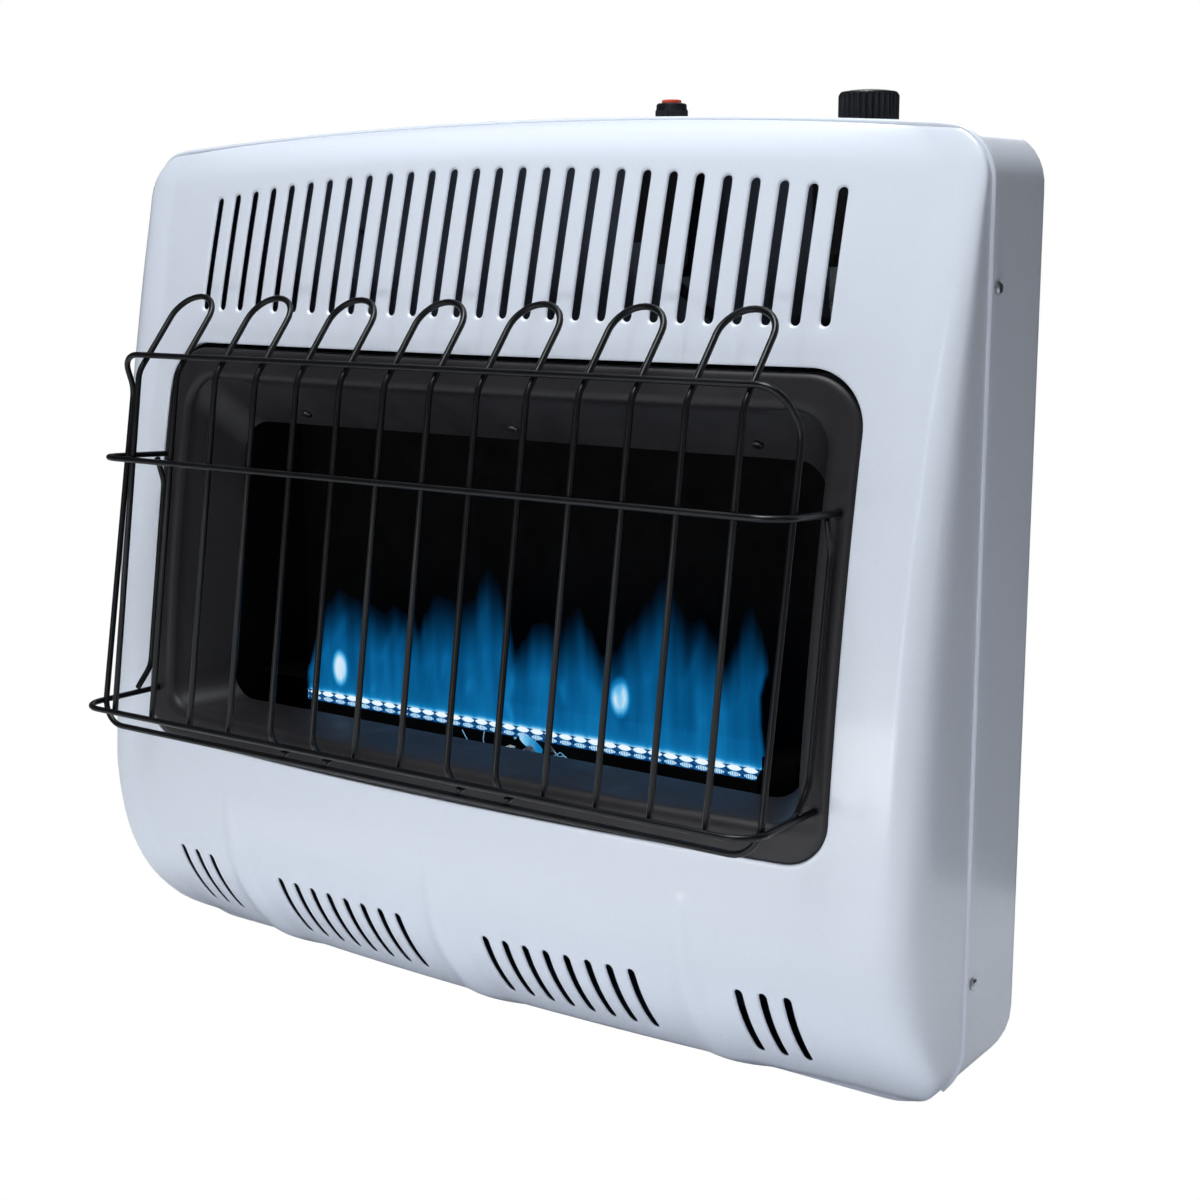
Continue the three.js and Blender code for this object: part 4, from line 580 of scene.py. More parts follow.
# Front cover: one sheet drawn forward into a bowed face with rounded edges and a curled foot, then pierced
# with louvres and slots and pressed with three darts. Powder coated white, screwed to the case sides.
LOUVRE_FOOT, LOUVRE_HEAD, LOUVRE_PITCH, LOUVRE_HALF = 488.8, 585.2, 19.05, 3.175
WINDOW_HALF, WINDOW_HEAD, WINDOW_SILL, WINDOW_TOP_ROUND, WINDOW_FOOT_ROUND = 288.4, 465.1, 174.2, 37, 27
SLOT_HALF, SLOT_PITCH, SLOT_FOOT, SLOT_HEAD = 2.75, 16.4, 33.5, 82.5
DART_PLACE, DART_HEAD = 195, 145
EDGE_ROUND, TOP_ROUND, FOOT_ROUND, FOOT_TUCK = 35, 24, 20, 12
# The face: how far it lies from the wall at the louvres and the window's sill, its lean, its curl, its bow.
LOUVRE_REACH, SILL_REACH, LEAN, PLAN_BOW = 127.5, 175.3, 0.2322, 23.5
CURL_HEIGHT, CURL_ROUND = 141, 183
# How the grid is split: the lower skin ends at one height, the upper begins at the other, and the window's
# block reaches out to a place where the side strips begin.
LOWER_END, UPPER_START, BLOCK_HALF = 162, 483, 300
LOUVRE_ARCH, LOUVRE_SPAN = 16.1, 13.5 * LOUVRE_PITCH


def face_depth(x, z):
    """Place of the bowed face: a parabola in height above the curl, a circle below it that tightens under
    100 by a parabola, and a parabola across, furthest out in the middle."""
    drop = WINDOW_SILL - LOUVRE_FOOT
    curve = (LOUVRE_REACH - SILL_REACH - LEAN * drop) / drop ** 2
    level = np.maximum(z, CURL_HEIGHT) - LOUVRE_FOOT
    curl = CURL_ROUND - np.sqrt(CURL_ROUND ** 2 - np.maximum(CURL_HEIGHT - z, 0) ** 2)
    curl += 0.0016 * np.maximum(100 - z, 0) ** 2
    return -LOUVRE_REACH + LEAN * level + curve * level ** 2 + curl + PLAN_BOW * (x / HALF_WIDTH) ** 2


def dart_rise(x, z):
    """Height of the three pressed darts: widening downwards from a round head, cosine across."""
    share = unit(1 - z / DART_HEAD)
    off = np.minimum(np.abs(np.abs(x) - DART_PLACE), np.abs(x))
    return 4.5 * np.sqrt(share) * (1 + np.cos(np.pi * unit(off / (8 + 16 * share)))) / 2


def quarter(share):
    """A quarter circle's fall as share goes from 1 to 0."""
    return 1 - np.sqrt(1 - np.maximum(1 - share, 0) ** 2)


def cover_depth(x, z):
    """The face with its darts, tucked back under the foot and carried back to the seam round the top."""
    y = face_depth(x, z) - dart_rise(x, z) + FOOT_TUCK * unit(1 - z / FOOT_ROUND) ** 1.4
    y = np.minimum(y, SEAM - 1)
    return y + (SEAM - y) * quarter(np.maximum(arched_top(x) - z, 0) / TOP_ROUND)


def edge_round(z):
    """Radius of the cover's upright edges, growing by 11 from a height of 150 down to 100 and falling by 8
    over the first 80 of the upper skin."""
    low, high = unit((150 - z) / 50), unit((z - UPPER_START) / 80)
    return EDGE_ROUND + 11 * low * low * (3 - 2 * low) - 8 * high * high * (3 - 2 * high)


def under_arch(z, x, moved):
    """Height of a place that moves sideways from x: in the upper skin it keeps its share of the way up to the
    arched top."""
    share = unit((z - UPPER_START) / (arched_top(x) - UPPER_START))
    return z + (arched_top(moved) - arched_top(x)) * share


def skin_rows(x, z, hold):
    """Grid of the skin from its front view: x beyond hold closes up to the rounded outline. At both sides
    each row turns in a superellipse of power 3, deepest 0.45 of the way back, and goes flat to the seam."""
    bend = edge_round(z)[:, :1]
    corner = outline_half(z) - edge_round(z)
    main = HALF_WIDTH - EDGE_ROUND
    size = np.abs(x)
    closing = hold + (size - hold) * (corner - hold) / (main - hold)
    moved = np.where(size > hold, np.sign(x) * closing, x)
    x, z = moved, under_arch(z, x, moved)
    front = places_of(x, cover_depth(x, z), z)
    sides = []
    for hand in (-1, 1):
        edge = front[:, 0 if hand < 0 else -1]
        deep = np.minimum(0.45 * (SEAM - edge[:, 1:2]), bend)
        turn = np.pi / 2 * np.array([0.02, 0.07, 0.15, 0.25, 0.36, 0.47, 0.58, 0.7, 0.82, 0.93, 1])
        across = edge[:, 0:1] + hand * bend * np.sin(turn) ** (2 / 3)
        arc = places_of(across, edge[:, 1:2] + deep * (1 - np.cos(turn) ** (2 / 3)),
                        under_arch(edge[:, 2:3], edge[:, 0:1], across))
        back = arc[:, -1:, :].repeat(4, 1)
        back[..., 1] = edge[:, 1:2] + deep + (SEAM - edge[:, 1:2] - deep) * np.array([0.25, 0.5, 0.75, 1])
        side = np.concatenate([arc, back], 1)
        sides.append(side[:, ::-1] if hand < 0 else side)
    return np.concatenate([sides[0], front, sides[1]], 1)


SIDE_COLUMNS = 15


def on_cover(x, z, sink):
    """A place on the cover's face, sunk below it."""
    return places_of(x, cover_depth(x, z) + sink, z)


def upper_skin():
    """From above the window to the top edge, with a cell for each of the 28 louvres."""
    x = even_columns([0, 14 * LOUVRE_PITCH, BLOCK_HALF, BLOCK_HALF + 8], [84, 8, 2])
    head = LOUVRE_HEAD + 5 - LOUVRE_ARCH * np.minimum(np.abs(x) / LOUVRE_SPAN, 1.03) ** 2
    low = np.linspace(0, 1, 23)
    high = np.sin(quarter_turn(15))[1:]
    z = np.concatenate([UPPER_START + (head - UPPER_START) * low[:, None],
                        head + (arched_top(x) - head) * high[:, None]])
    skin = skin_rows(np.broadcast_to(x, z.shape), z, 14 * LOUVRE_PITCH)
    middle = SIDE_COLUMNS + len(x) // 2
    cells, holes = [], []
    for number in range(28):
        first = middle + 6 * (number - 14)
        at = (number - 13.5) * LOUVRE_PITCH
        top = LOUVRE_HEAD - LOUVRE_ARCH * (at / LOUVRE_SPAN) ** 2
        cells.append((0, 22, first, first + 6))
        holes.append(((at, LOUVRE_FOOT + LOUVRE_HALF), (at, top - LOUVRE_HALF), LOUVRE_HALF, 1.8))
    return skin, pierced(skin, cells, holes, on_cover)


def lower_skin():
    """From the underside's seam round the curled foot and up to the window block, with the slots' cells."""
    x = even_columns([0, 30.3, 161.5, 221.3, 270.5, BLOCK_HALF, BLOCK_HALF + 8], [10, 48, 24, 18, 8, 2])
    foot = FOOT_ROUND * (1 - np.sin(np.linspace(np.pi / 2, 0, 9)))
    z = np.concatenate([foot, runs([FOOT_ROUND, 27, 96, LOWER_END], [6, 14, 24])[1:]])
    z = np.repeat(z[:, None], len(x), 1)
    skin = skin_rows(np.broadcast_to(x, z.shape), z, 100 + 170.5 * np.minimum(z / 27, 1))
    share = np.array([0, 0.01, 0.02, 0.3, 0.65, 0.95])[:, None, None]
    under = skin[0][None].repeat(6, 0)
    under[..., 1] = SEAM + (under[..., 1] - SEAM) * share[..., 0]
    skin = np.concatenate([under, skin])
    middle = SIDE_COLUMNS + len(x) // 2
    cells, holes = [], []
    for start, begin, count in ((10, 30.3, 8), (82, 221.3, 3)):
        for number in range(count):
            at = begin + SLOT_PITCH * (number + 0.5)
            lift = 3 * (at / DART_PLACE) ** 2
            for hand in (-1, 1):
                first = middle + start + 6 * number if hand > 0 else middle - start - 6 * (number + 1)
                cells.append((20, 34, first, first + 6))
                holes.append(((hand * at, SLOT_FOOT + lift / 2 + SLOT_HALF),
                              (hand * at, SLOT_HEAD + lift - SLOT_HALF), SLOT_HALF, 1.6))
    return skin, pierced(skin, cells, holes, on_cover)


def window_skin(above, below):
    """Side strips beside the window and a block between them whose rings run in to the window's edge,
    roll under it and turn 6 mm back as its return."""
    x = BLOCK_HALF + np.array([0, 4, 8])
    x = np.concatenate([-x[::-1], x])
    strip = skin_rows(*np.meshgrid(x, np.linspace(LOWER_END, UPPER_START, 75)), 270.5)
    left, right = strip[:, :SIDE_COLUMNS + 3], strip[:, SIDE_COLUMNS + 3:]
    top, foot = (row[np.abs(row[:, 0]) < BLOCK_HALF + 0.01] for row in (above[0], below[-1]))
    border = np.concatenate([foot[:-1], right[:-1, 0], top[:0:-1], left[:0:-1, -1]])[:, [0, 2]]
    middle = (WINDOW_HEAD + WINDOW_SILL) / 2
    radius = np.where(border[:, 1] > middle, WINDOW_TOP_ROUND, WINDOW_FOOT_ROUND)[:, None]
    low = np.concatenate([-WINDOW_HALF + radius, WINDOW_SILL + radius], 1)
    high = np.concatenate([WINDOW_HALF - radius, WINDOW_HEAD - radius], 1)
    places, sink = round_hole(border, low, high, radius, 1.6, (0, 0.3, 0.6, 0.85))
    places = np.concatenate([places, places[-1:], places[-1:]])
    sink = np.concatenate([sink, [3.8, 6]])
    ring = on_cover(places[..., 0], places[..., 1], sink[:, None])
    return merged([(part.reshape(-1, 3), grid_faces(*part.shape[:2], closed_columns=part is ring))
                   for part in (left, right, ring)])


above, upper = upper_skin()
below, lower = lower_skin()
cover_mesh = merged([upper, lower, window_skin(above, below)])
cover = make_shell("cover_skin", *cover_mesh, 1, (white_coat, slate_shade_coat))
# At the foot's two corners the sheet's sides meet in a line; what its thickness adds below is cut level.
levels = np.empty(len(cover.data.vertices) * 3)
cover.data.vertices.foreach_get("co", levels)
levels[2::3] = np.maximum(levels[2::3], -FLOOR / 1000)
cover.data.vertices.foreach_set("co", levels)
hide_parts("front_cover")

# Bezel: a drawn pan of black satin steel set in the cover's window. Its rolled rim stands a few millimetres
# clear of the cover along the top, and its walls slope back to the firebox mouth.
MOUTH_HALF, MOUTH_HEAD, MOUTH_SILL, MOUTH_ROUND = 249, 406.5, 196, 24
# The guard that enters the bezel: its legs' place, and each bar's height, reach and the height of its holes.
LEG = 279.5
LOWER_BAR, MID_BAR = (209.5, 230.2, 208.5), (387, 202.5, 382.5)


def satin_coat(name, light, dark, rough, grain, depth, shine):
    """Thin baked enamel over steel: cloudy tone, fine grain in the height, no clear coat."""
    return surface(name, light, dark, (0.32, 0.7), (9, 5), rough, 40, (grain, 2), depth,
                   {"Specular IOR Level": shine})


def paint_hole_shade(material, half, heights, radius):
    """Paints shade: near-black round spots at half to the left and right, at each height, for the dark holes
    where the guard's legs enter.
    """
    tree = material.node_tree
    shader, place = tree.nodes["Principled BSDF"], tree.nodes["Texture Coordinate"].outputs["Object"]
    x = add_node(tree, "SeparateXYZ", "X", {"Vector": place})
    across = add_node(tree, "Math", 0, {0: x}, operation="ABSOLUTE")
    spot = add_node(tree, "CombineXYZ", "Vector", {"X": across, "Z": x.node.outputs["Z"]})
    for height in heights:
        centre = (half / 1000, 0, (height - FLOOR) / 1000)
        far = add_node(tree, "VectorMath", "Value", {0: spot, 1: centre}, operation="DISTANCE")
        edge = {"From Min": (radius - 0.4) / 1000, "From Max": (radius + 0.4) / 1000}
        rim = add_node(tree, "MapRange", "Result", {"Value": far, **edge})
        tones = {"A": (0.001, 0.001, 0.0012, 1), "B": shader.inputs["Base Color"].links[0].from_socket}
        mix = add_node(tree, "Mix", "Result", {"Factor": rim, **tones}, data_type="RGBA")
        feed(tree, shader, {"Base Color": mix})


def pan_loop(half, head, foot, head_round, foot_round):
    """A rounded rectangle in x and z, counter-clockwise from its lower right corner, in even steps."""
    turn = quarter_turn(13)
    places = []
    low = half - foot_round, foot + foot_round, foot_round
    high = half - head_round, head - head_round, head_round
    corners = [low, high, (-high[0], *high[1:]), (-low[0], *low[1:])]
    for number, (x, z, radius) in enumerate(corners):
        angle = turn + (number - 1) * np.pi / 2
        arc = np.stack([x + radius * np.cos(angle), z + radius * np.sin(angle)], -1)
        after = corners[(number + 1) % 4]
        angle = angle[-1]
        end = np.array([after[0] + after[2] * np.cos(angle), after[1] + after[2] * np.sin(angle)])
        run = arc[-1] + (end - arc[-1]) * np.linspace(0, 1, 33 if number % 2 else 17)[1:-1, None]
        places += [arc, run]
    return np.concatenate(places)


def pan_ring(inset, depth):
    """One ring of the pan at an inset from the window's edge and a depth behind the cover's face."""
    loop = pan_loop(WINDOW_HALF - 1 - inset, WINDOW_HEAD - 4.6 - inset, WINDOW_SILL + 1 + inset,
                    WINDOW_TOP_ROUND - 1 - inset / 2, WINDOW_FOOT_ROUND - 1 - inset / 3)
    return places_of(loop[:, 0], face_depth(*loop.T) + depth, loop[:, 1])


def build_bezel():
    """Rim skirt, rounded rim, flat flange, bend into the wall, wall to the mouth: all seen from the room."""
    turn = quarter_turn(9)
    rings = [pan_ring(0, depth) for depth in (13.5, 9, 5)]
    rings += [pan_ring(3 * (1 - np.cos(angle)), 3 - 2 * np.sin(angle)) for angle in turn]
    rings += [pan_ring(3 + 11 * share, 1 + share) for share in (0.25, 0.5, 0.75)]
    rings += [pan_ring(14 + 6 * np.sin(angle), 2 + 6 * (1 - np.cos(angle))) for angle in turn]
    loop = pan_loop(MOUTH_HALF, MOUTH_HEAD, MOUTH_SILL, MOUTH_ROUND, MOUTH_ROUND)
    rise = (loop[:, 1] - MOUTH_SILL) / (MOUTH_HEAD - MOUTH_SILL)
    mouth = places_of(loop[:, 0], -110 + 26 * rise, loop[:, 1])
    bend = rings[-1]
    rings += [bend + (mouth - bend) * share for share in np.linspace(0, 1, 9)[1:]]
    rings = np.stack(rings)
    return rings, grid_faces(*rings.shape[:2], closed_columns=True)[:, ::-1]


bezel_black = satin_coat("satin black pan", (42, 40, 43), (30, 28, 31), (0.42, 0.55), 900, 0.00003, 0.35)
# Painted shade: near-black spots on the pan where the guard's legs enter, standing for the dark of their
# holes.
paint_hole_shade(bezel_black, LEG, (MID_BAR[2], LOWER_BAR[2]), 3.6)
bezel = make_shell("bezel_pan", *build_bezel(), 1.15, (bezel_black, bezel_black))
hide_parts("bezel")

# Wire guard: 4.2 mm steel rod in black enamel. A loop and two bars hold seven hoops; a stile at each side
# joins the bars' legs, which spring into the bezel.
WIRE, STEP = 4.2, 4.5
PITCH = 2 * (WINDOW_HALF - 40.75) / 13
HOOP_BEND = 448


def bent_path(corners, bend, closed=False):
    """Centre line through the corners, each turned in a circular arc of radius bend with 9 places."""
    corners = np.array(corners, float)
    count = len(corners)
    places = [] if closed else [corners[:1]]
    for i in range(0 if closed else 1, count if closed else count - 1):
        here = corners[i]
        back, on = corners[i - 1] - here, corners[(i + 1) % count] - here
        lengths = np.linalg.norm(back), np.linalg.norm(on)
        back, on = back / lengths[0], on / lengths[1]
        angle = np.arccos(np.clip(back @ on, -1, 1))
        reach = min(bend / np.tan(angle / 2), lengths[0] / 2, lengths[1] / 2)
        middle = here + (back + on) / np.linalg.norm(back + on) * reach / np.cos(angle / 2)
        spoke = here + back * reach - middle
        other = here + on * reach - middle
        other = other - spoke * (other @ spoke) / (spoke @ spoke)
        other *= np.linalg.norm(spoke) / np.linalg.norm(other)
        turn = np.linspace(0, np.pi - angle, 9)[:, None]
        places.append(middle + spoke * np.cos(turn) + other * np.sin(turn))
    return np.concatenate(places if closed else places + [corners[-1:]])


def rod_skin(path, radius, closed=False):
    """Rings of a round rod along a path; open ends are rounded over. Each ring's first spoke is the one
    before it, squared to the new direction."""
    sides = 14
    path = np.array(path, float)
    if closed:
        along = np.roll(path, -1, 0) - np.roll(path, 1, 0)
        scale = np.ones(len(path))
    else:
        along = np.gradient(path, axis=0)
        ends = [along[0] / np.linalg.norm(along[0]), along[-1] / np.linalg.norm(along[-1])]
        sizes, shares = [0, 0.7, 1], [0, 0.12, 0.45]
        head = [path[0] + ends[0] * radius * share for share in shares]
        tail = [path[-1] - ends[1] * radius * share for share in shares[::-1]]
        path = np.concatenate([head, path[1:-1], tail])
        along = np.concatenate([[ends[0]] * 3, along[1:-1], [ends[1]] * 3])
        scale = np.concatenate([sizes, np.ones(len(path) - 6), sizes[::-1]])
    along = along / np.linalg.norm(along, axis=1, keepdims=True)
    spoke = np.cross(along[0], [0.31, 0.17, 0.93])
    turn = full_turn(sides)
    rings = []
    for place, way, size in zip(path, along, scale):
        spoke = spoke - way * (spoke @ way)
        spoke = spoke / np.linalg.norm(spoke)
        side = np.cross(way, spoke)
        rings.append(place + radius * size * (np.outer(np.cos(turn), spoke) + np.outer(np.sin(turn), side)))
    rings = np.stack(rings)
    return rings, grid_faces(len(rings), sides, closed_rows=closed, closed_columns=True)


def make_rod(name, corners, diameter, bend, material, closed=False):
    """A rod bent at each corner."""
    skin = rod_skin(bent_path(corners, bend, closed), diameter / 2, closed)
    return make_piece(name, *skin, material, sharp=50)


def hoop_depth(z):
    """The hoops' centre line: a straight lean from the lower bar to the middle bar."""
    lean = (LOWER_BAR[1] - MID_BAR[1]) / (MID_BAR[0] - LOWER_BAR[0])
    return STEP - LOWER_BAR[1] + lean * (z - LOWER_BAR[0])


def bar_corners(height, reach, hole):
    """From the left hole in the bezel out to the bar, across, and back into the right hole."""
    end = face_depth(LEG, hole) + 9.9
    return [(-LEG, end, hole), (-LEG, -reach, height), (LEG, -reach, height), (LEG, end, hole)]


def leg_place(height, reach, hole, out):
    """A place on a bar's leg, a distance out from the bezel."""
    face = face_depth(LEG, hole)
    share = (out + 10) / (reach + face + 10)
    return np.array([face - out, hole + (height - hole) * share])


def stile_corners(side):
    """From under the upper leg, back to the bezel, down beside it and forward onto the lower leg."""
    head = np.array([face_depth(LEG, 362) - 4, 362])
    foot = np.array([face_depth(LEG, 226.5) - 7.3, 226.5])
    top = leg_place(*MID_BAR, 13.3) - [0, 2.3]
    base = leg_place(*LOWER_BAR, 19.7) + [0, 2.6]
    return [(side * LEG, *place) for place in (top, head, foot, base)]


def hoop_corners(number):
    """Up from the lower bar, back over the cover, and down again one pitch further on; the third and the
    fifth hoop hook under the bar and lie on the loop's foot."""
    left = (2 * number - 8.5) * PITCH
    rise = [(left, hoop_depth(HOOP_BEND), HOOP_BEND), (left, -144, 499.5)]
    foot = [(left, hoop_depth(207.6), 207.6)]
    if number in (3, 5):
        foot = [(left, -214.2, 198.5), (left, -205.3, 198.8), (left, hoop_depth(LOWER_BAR[0]), LOWER_BAR[0])]
    half = foot + rise
    return half + [(x + PITCH, y, z) for x, y, z in half[::-1]]


wire_black = satin_coat("black wire enamel", (13, 13, 17), (7, 7, 10), (0.3, 0.42), 700, 0.00004, 0.3)
lean = np.arctan2(-144 - hoop_depth(HOOP_BEND), 499.5 - HOOP_BEND)
loop_head = hoop_depth(HOOP_BEND) + 11.5 * np.tan(lean) - STEP / np.cos(lean)
loop_corners = [(LEG - 11.5, loop_head, 459.5), (LEG - STEP, -170, 434), (LEG - STEP, -213, 194)]
loop_corners = loop_corners + [(-x, y, z) for x, y, z in loop_corners[::-1]]
guard = [("guard_loop_wire", "guard_loop", loop_corners, True),
         ("guard_mid_wire", "guard_mid_bar", bar_corners(*MID_BAR), False),
         ("guard_lower_wire", "guard_lower_bar", bar_corners(LOWER_BAR[0], 230.17, LOWER_BAR[2]), False),
         ("guard_stile_wire_left", "guard_stile_left", stile_corners(-1), False),
         ("guard_stile_wire_right", "guard_stile_right", stile_corners(1), False)]
for number in range(1, 8):
    guard.append((f"guard_hoop_wire_{number}", f"guard_hoop_{number}", hoop_corners(number), False))
for name, node, corners, closed in guard:
    piece = make_rod(name, corners, WIRE, 19, wire_black, closed)
    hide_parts(node)

# Small things seen through the guard: the pilot's flame, and lint caught under the port strip and lit by it,
# that light painted on the lint as a faint blue glow.
# The lint is pale fluff, the flame the same burning gas as the curtain.
def painted_glow_thread(name, light, dark, level):
    """Pale fluff with the flames' light painted on: two close blues in a fine cloud, shining faintly as a
    painted glow.
    """
    material, tree, shader, place = paint_nodes(name)
    tone = blend_colours(tree, noise(tree, place, 900, 4), [(0.3, dark), (0.7, light)])
    feed(tree, shader, {"Base Color": tone, "Emission Color": tone, "Emission Strength": level,
                        "Roughness": 0.9})
    return material


def teardrop(foot, head, width):
    """A round tongue between two places, half as deep as wide: its radius grows with the root of the share
    and closes in a point."""
    foot, head = np.array(foot, float), np.array(head, float)
    way = (head - foot) / np.linalg.norm(head - foot)
    across = np.cross(way, [0, 1, 0])
    deep = np.cross(way, across)
    turn, share = full_turn(16), np.linspace(0, 1, 24)
    radius = width * (0.15 + 1.6 * np.sqrt(share) * (1 - share) ** 0.6)
    radius[[0, -1]] = 0
    spokes = np.outer(np.cos(turn), across) + np.outer(np.sin(turn), deep) * 0.5
    middle = foot + (head - foot) * share[:, None]
    return middle[:, None] + radius[:, None, None] * spokes, grid_faces(24, 16, closed_columns=True)


# Painted light: the lint's blue tones and faint glow stand for the light of the flames above it.
glow_threads = painted_glow_thread("lint with painted glow", (150, 205, 236), (70, 130, 176), 0.55)
lint = [
    [(-44.7, 194.7), (-41.2, 190.4), (-37.1, 184.3)], [(-24.3, 197), (-25.1, 190.6), (-24.3, 184.4)],
    [(8.6, 186.9), (14.2, 190.8), (21.4, 196.7)], [(33.9, 194.3), (41, 188), (46.2, 189.4), (51.4, 185)],
    [(36.2, 187.6), (43, 191.6), (49, 186.6)], [(-9.3, 184.6), (-7.4, 186.1), (-5.4, 185.2)],
    [(2.6, 195.4), (3.4, 196), (4.3, 195.6)]]
for number, places in enumerate(lint, 1):
    corners = [(x, -84 - 0.6 * (index % 2), z) for index, (x, z) in enumerate(places)]
    make_rod(f"lint_strand_{number}", corners, 0.7 if number < 6 else 1.6, 2, glow_threads)

pilot_mesh = teardrop((7.5, -84.5, 198.2), (28.5, -86, 189.8), 4.2)
pilot_flame = make_piece("pilot_flame", *pilot_mesh, flame_blue, sharp=180)
set_values(pilot_flame, "light", 0.95 - 0.5 * (vertex_places(pilot_flame)[:, 0] - 7.5) / 21)


# Seam bead: the folded edge of the case that shows as a bright line all round behind the cover.
# It is the case's own white sheet, turned over a 2 mm radius.
def seam_path():
    """Up the right side, over the arched top and down the left side, a bead's radius outside the outline."""
    z = np.concatenate([50 - 34 * np.cos(quarter_turn(12)), np.linspace(50, 565, 40)[1:],
                        565 + 37 * np.sin(quarter_turn(12))[1:]])
    x = outline_half(z)
    across = np.linspace(1, -1, 61)[1:-1] * x[-1]
    right = places_of(x, SEAM, z)
    top = places_of(across, SEAM, arched_top(across))
    left = right[::-1] * [-1, 1, 1]
    return np.concatenate([right, top, left])


make_piece("seam_bead", *rod_skin(seam_path(), 2), white_coat, sharp=50)

# Burner end: a black saddle with a rounded top that covers the strip's right end and holds the burner.
# It is pressed from the same sooty sheet as the firebox.
def shrunk_rings(outline, middle, steps):
    """A closed form along y: an outline in x and z at each step's depth, shrunk towards its middle by the
    step's scale."""
    x, z = outline
    rings = [places_of(middle[0] + (x - middle[0]) * scale, depth, middle[1] + (z - middle[1]) * scale)
             for depth, scale in steps]
    return np.stack(rings), grid_faces(len(rings), len(x), closed_columns=True)[:, ::-1]


def power(value, exponent):
    """A power that keeps the sign."""
    return np.sign(value) * np.abs(value) ** exponent


SADDLE_X, SADDLE_Z = 211, 196
turn = full_turn(48)
x, z = SADDLE_X + 15.5 * power(np.cos(turn), 0.55), SADDLE_Z + 14.5 * power(np.sin(turn), 0.7)
z += 0.42 * (x - SADDLE_X) * (z > SADDLE_Z)
saddle_steps = [
    (-72, 0), (-72, 1), (-79, 1), (-80.6, 0.96), (-81.7, 0.88), (-82, 0.8), (-82, 0)]
make_piece("burner_saddle", *shrunk_rings((x, z), (SADDLE_X, SADDLE_Z), saddle_steps), soot)

# Keyhole cups: a drawn cup put over each hanging keyhole inside the back panel to make the shade there, so
# that no light shows through.
# Each runs from its inner face's centre out to the rim, then over the outer face back to its centre.
shade_cup_steps = [
    (-8.6, 0), (-8.6, 0.8), (-7.6, 0.9), (-1.5, 0.93), (-1.5, 1), (-8, 0.98), (-9.4, 0.86), (-9.4, 0)]
turn = full_turn(40)
for name, x in (("left", -KEYHOLE_PLACE), ("right", KEYHOLE_PLACE)):
    oval = x + 11 * np.cos(turn), 527.5 + 19 * np.sin(turn)
    # Painted shade: each cup is a slate sheet that only serves to keep the keyhole dark.
    make_piece(f"keyhole_shade_cup_{name}", *shrunk_rings(oval, (x, 527.5), shade_cup_steps), slate_shade_coat)

# Controls: the fluted knob on the valve stem, and beside it the igniter's fluted ring with its red button,
# all moulded plastic; then the screw heads.
def moulded(name, light, dark, rough):
    """Moulded plastic: two close tones in small clouds, a fine texture and a soft shine."""
    return surface(name, light, dark, (0.3, 0.7), (180,), rough, 400, (2500, 2), 0.00001, {})


def fluted_turning(name, node, profile, centre, flutes, groove, band, material, body, closed=False):
    """A turned piece with scalloped grooves: rings of (radius, height), and between the band's two heights
    each ring sinks by groove times the sine of its place between two ridges. The groove's upper end slopes
    out over the band's last 1.2 mm."""
    sides = flutes * 8 if flutes else 96
    turn = full_turn(sides)
    sink = groove * np.sin(np.pi * ((np.arange(sides) % 8) / 8)) ** 0.7 if flutes else np.zeros(sides)
    profile = np.array(profile, float)
    fluted = (profile[:, 1] > band[0]) & (profile[:, 0] > groove * 7)
    depth = unit((band[1] - profile[:, 1]) / 1.2) * fluted
    radius = profile[:, :1] - depth[:, None] * sink
    points = places_of(centre[0] + radius * np.cos(turn), centre[1] + radius * np.sin(turn), profile[:, 1:])
    piece = make_piece(name, points, grid_faces(len(profile), sides, closed_rows=closed, closed_columns=True),
                       material, body, 32)
    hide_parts(node)
    return piece


knob_black = moulded("black knob plastic", (20, 22, 30), (13, 14, 20), (0.34, 0.46))
button_red = moulded("red button plastic", (226, 92, 68), (206, 74, 54), (0.3, 0.42))
knob_profile = [
    (0, 616.3), (3.4, 616.3), (3.4, 602), (17.6, 602), (18.3, 602.4), (18.5, 603), (18.5, 603.1),
    (18.5, 608), (18.5, 613), (18.5, 618), (18.5, 622), (18.5, 623.6), (18.45, 624.3), (18.2, 624.9),
    (17.9, 625.4), (17.6, 625.8), (17.3, 626.2), (17, 626.6), (16.2, 626.9), (12, 627.6), (8, 628),
    (4, 628.25), (0, 628.35)]
knob = fluted_turning("control_knob_moulding", "control_knob", knob_profile, KNOB_PLACE, 32, 1.1,
                      (603.05, 626), knob_black, "turned_knob")
ring_profile = [
    (8.3, 613.6), (10.3, 613.6), (10.65, 614.1), (10.65, 614.2), (10.65, 618), (10.65, 620.2), (10.6, 620.8),
    (10.4, 621.3), (10.1, 621.8), (9.95, 622.3), (9.9, 624.3), (9.5, 625.2), (8.8, 625.6), (7.3, 625.6),
    (7, 625.3), (7, 617.2), (8.3, 617)]
ring = fluted_turning("igniter_ring_moulding", "igniter_ring", ring_profile, IGNITER_PLACE, 26, 0.6,
                      (614.15, 621.6), knob_black, "cabinet", True)
button_profile = [
    (0, 600.1), (3.9, 600.1), (3.9, 621.9), (6, 621.9), (6.4, 622.3), (6.4, 624.5), (6.4, 626.9),
    (6.2, 627.5), (5.6, 627.9), (4, 628.05), (0, 628.1)]
button = fluted_turning("igniter_button_moulding", "igniter_button", button_profile, IGNITER_PLACE, 0, 0,
                        (0, 0), button_red, "igniter_button")
dress(knob_black, "igniter_body")
dress(zinc, *[f"side_screw_{place}" for place in ("upper_left", "upper_right", "lower_left", "lower_right")])
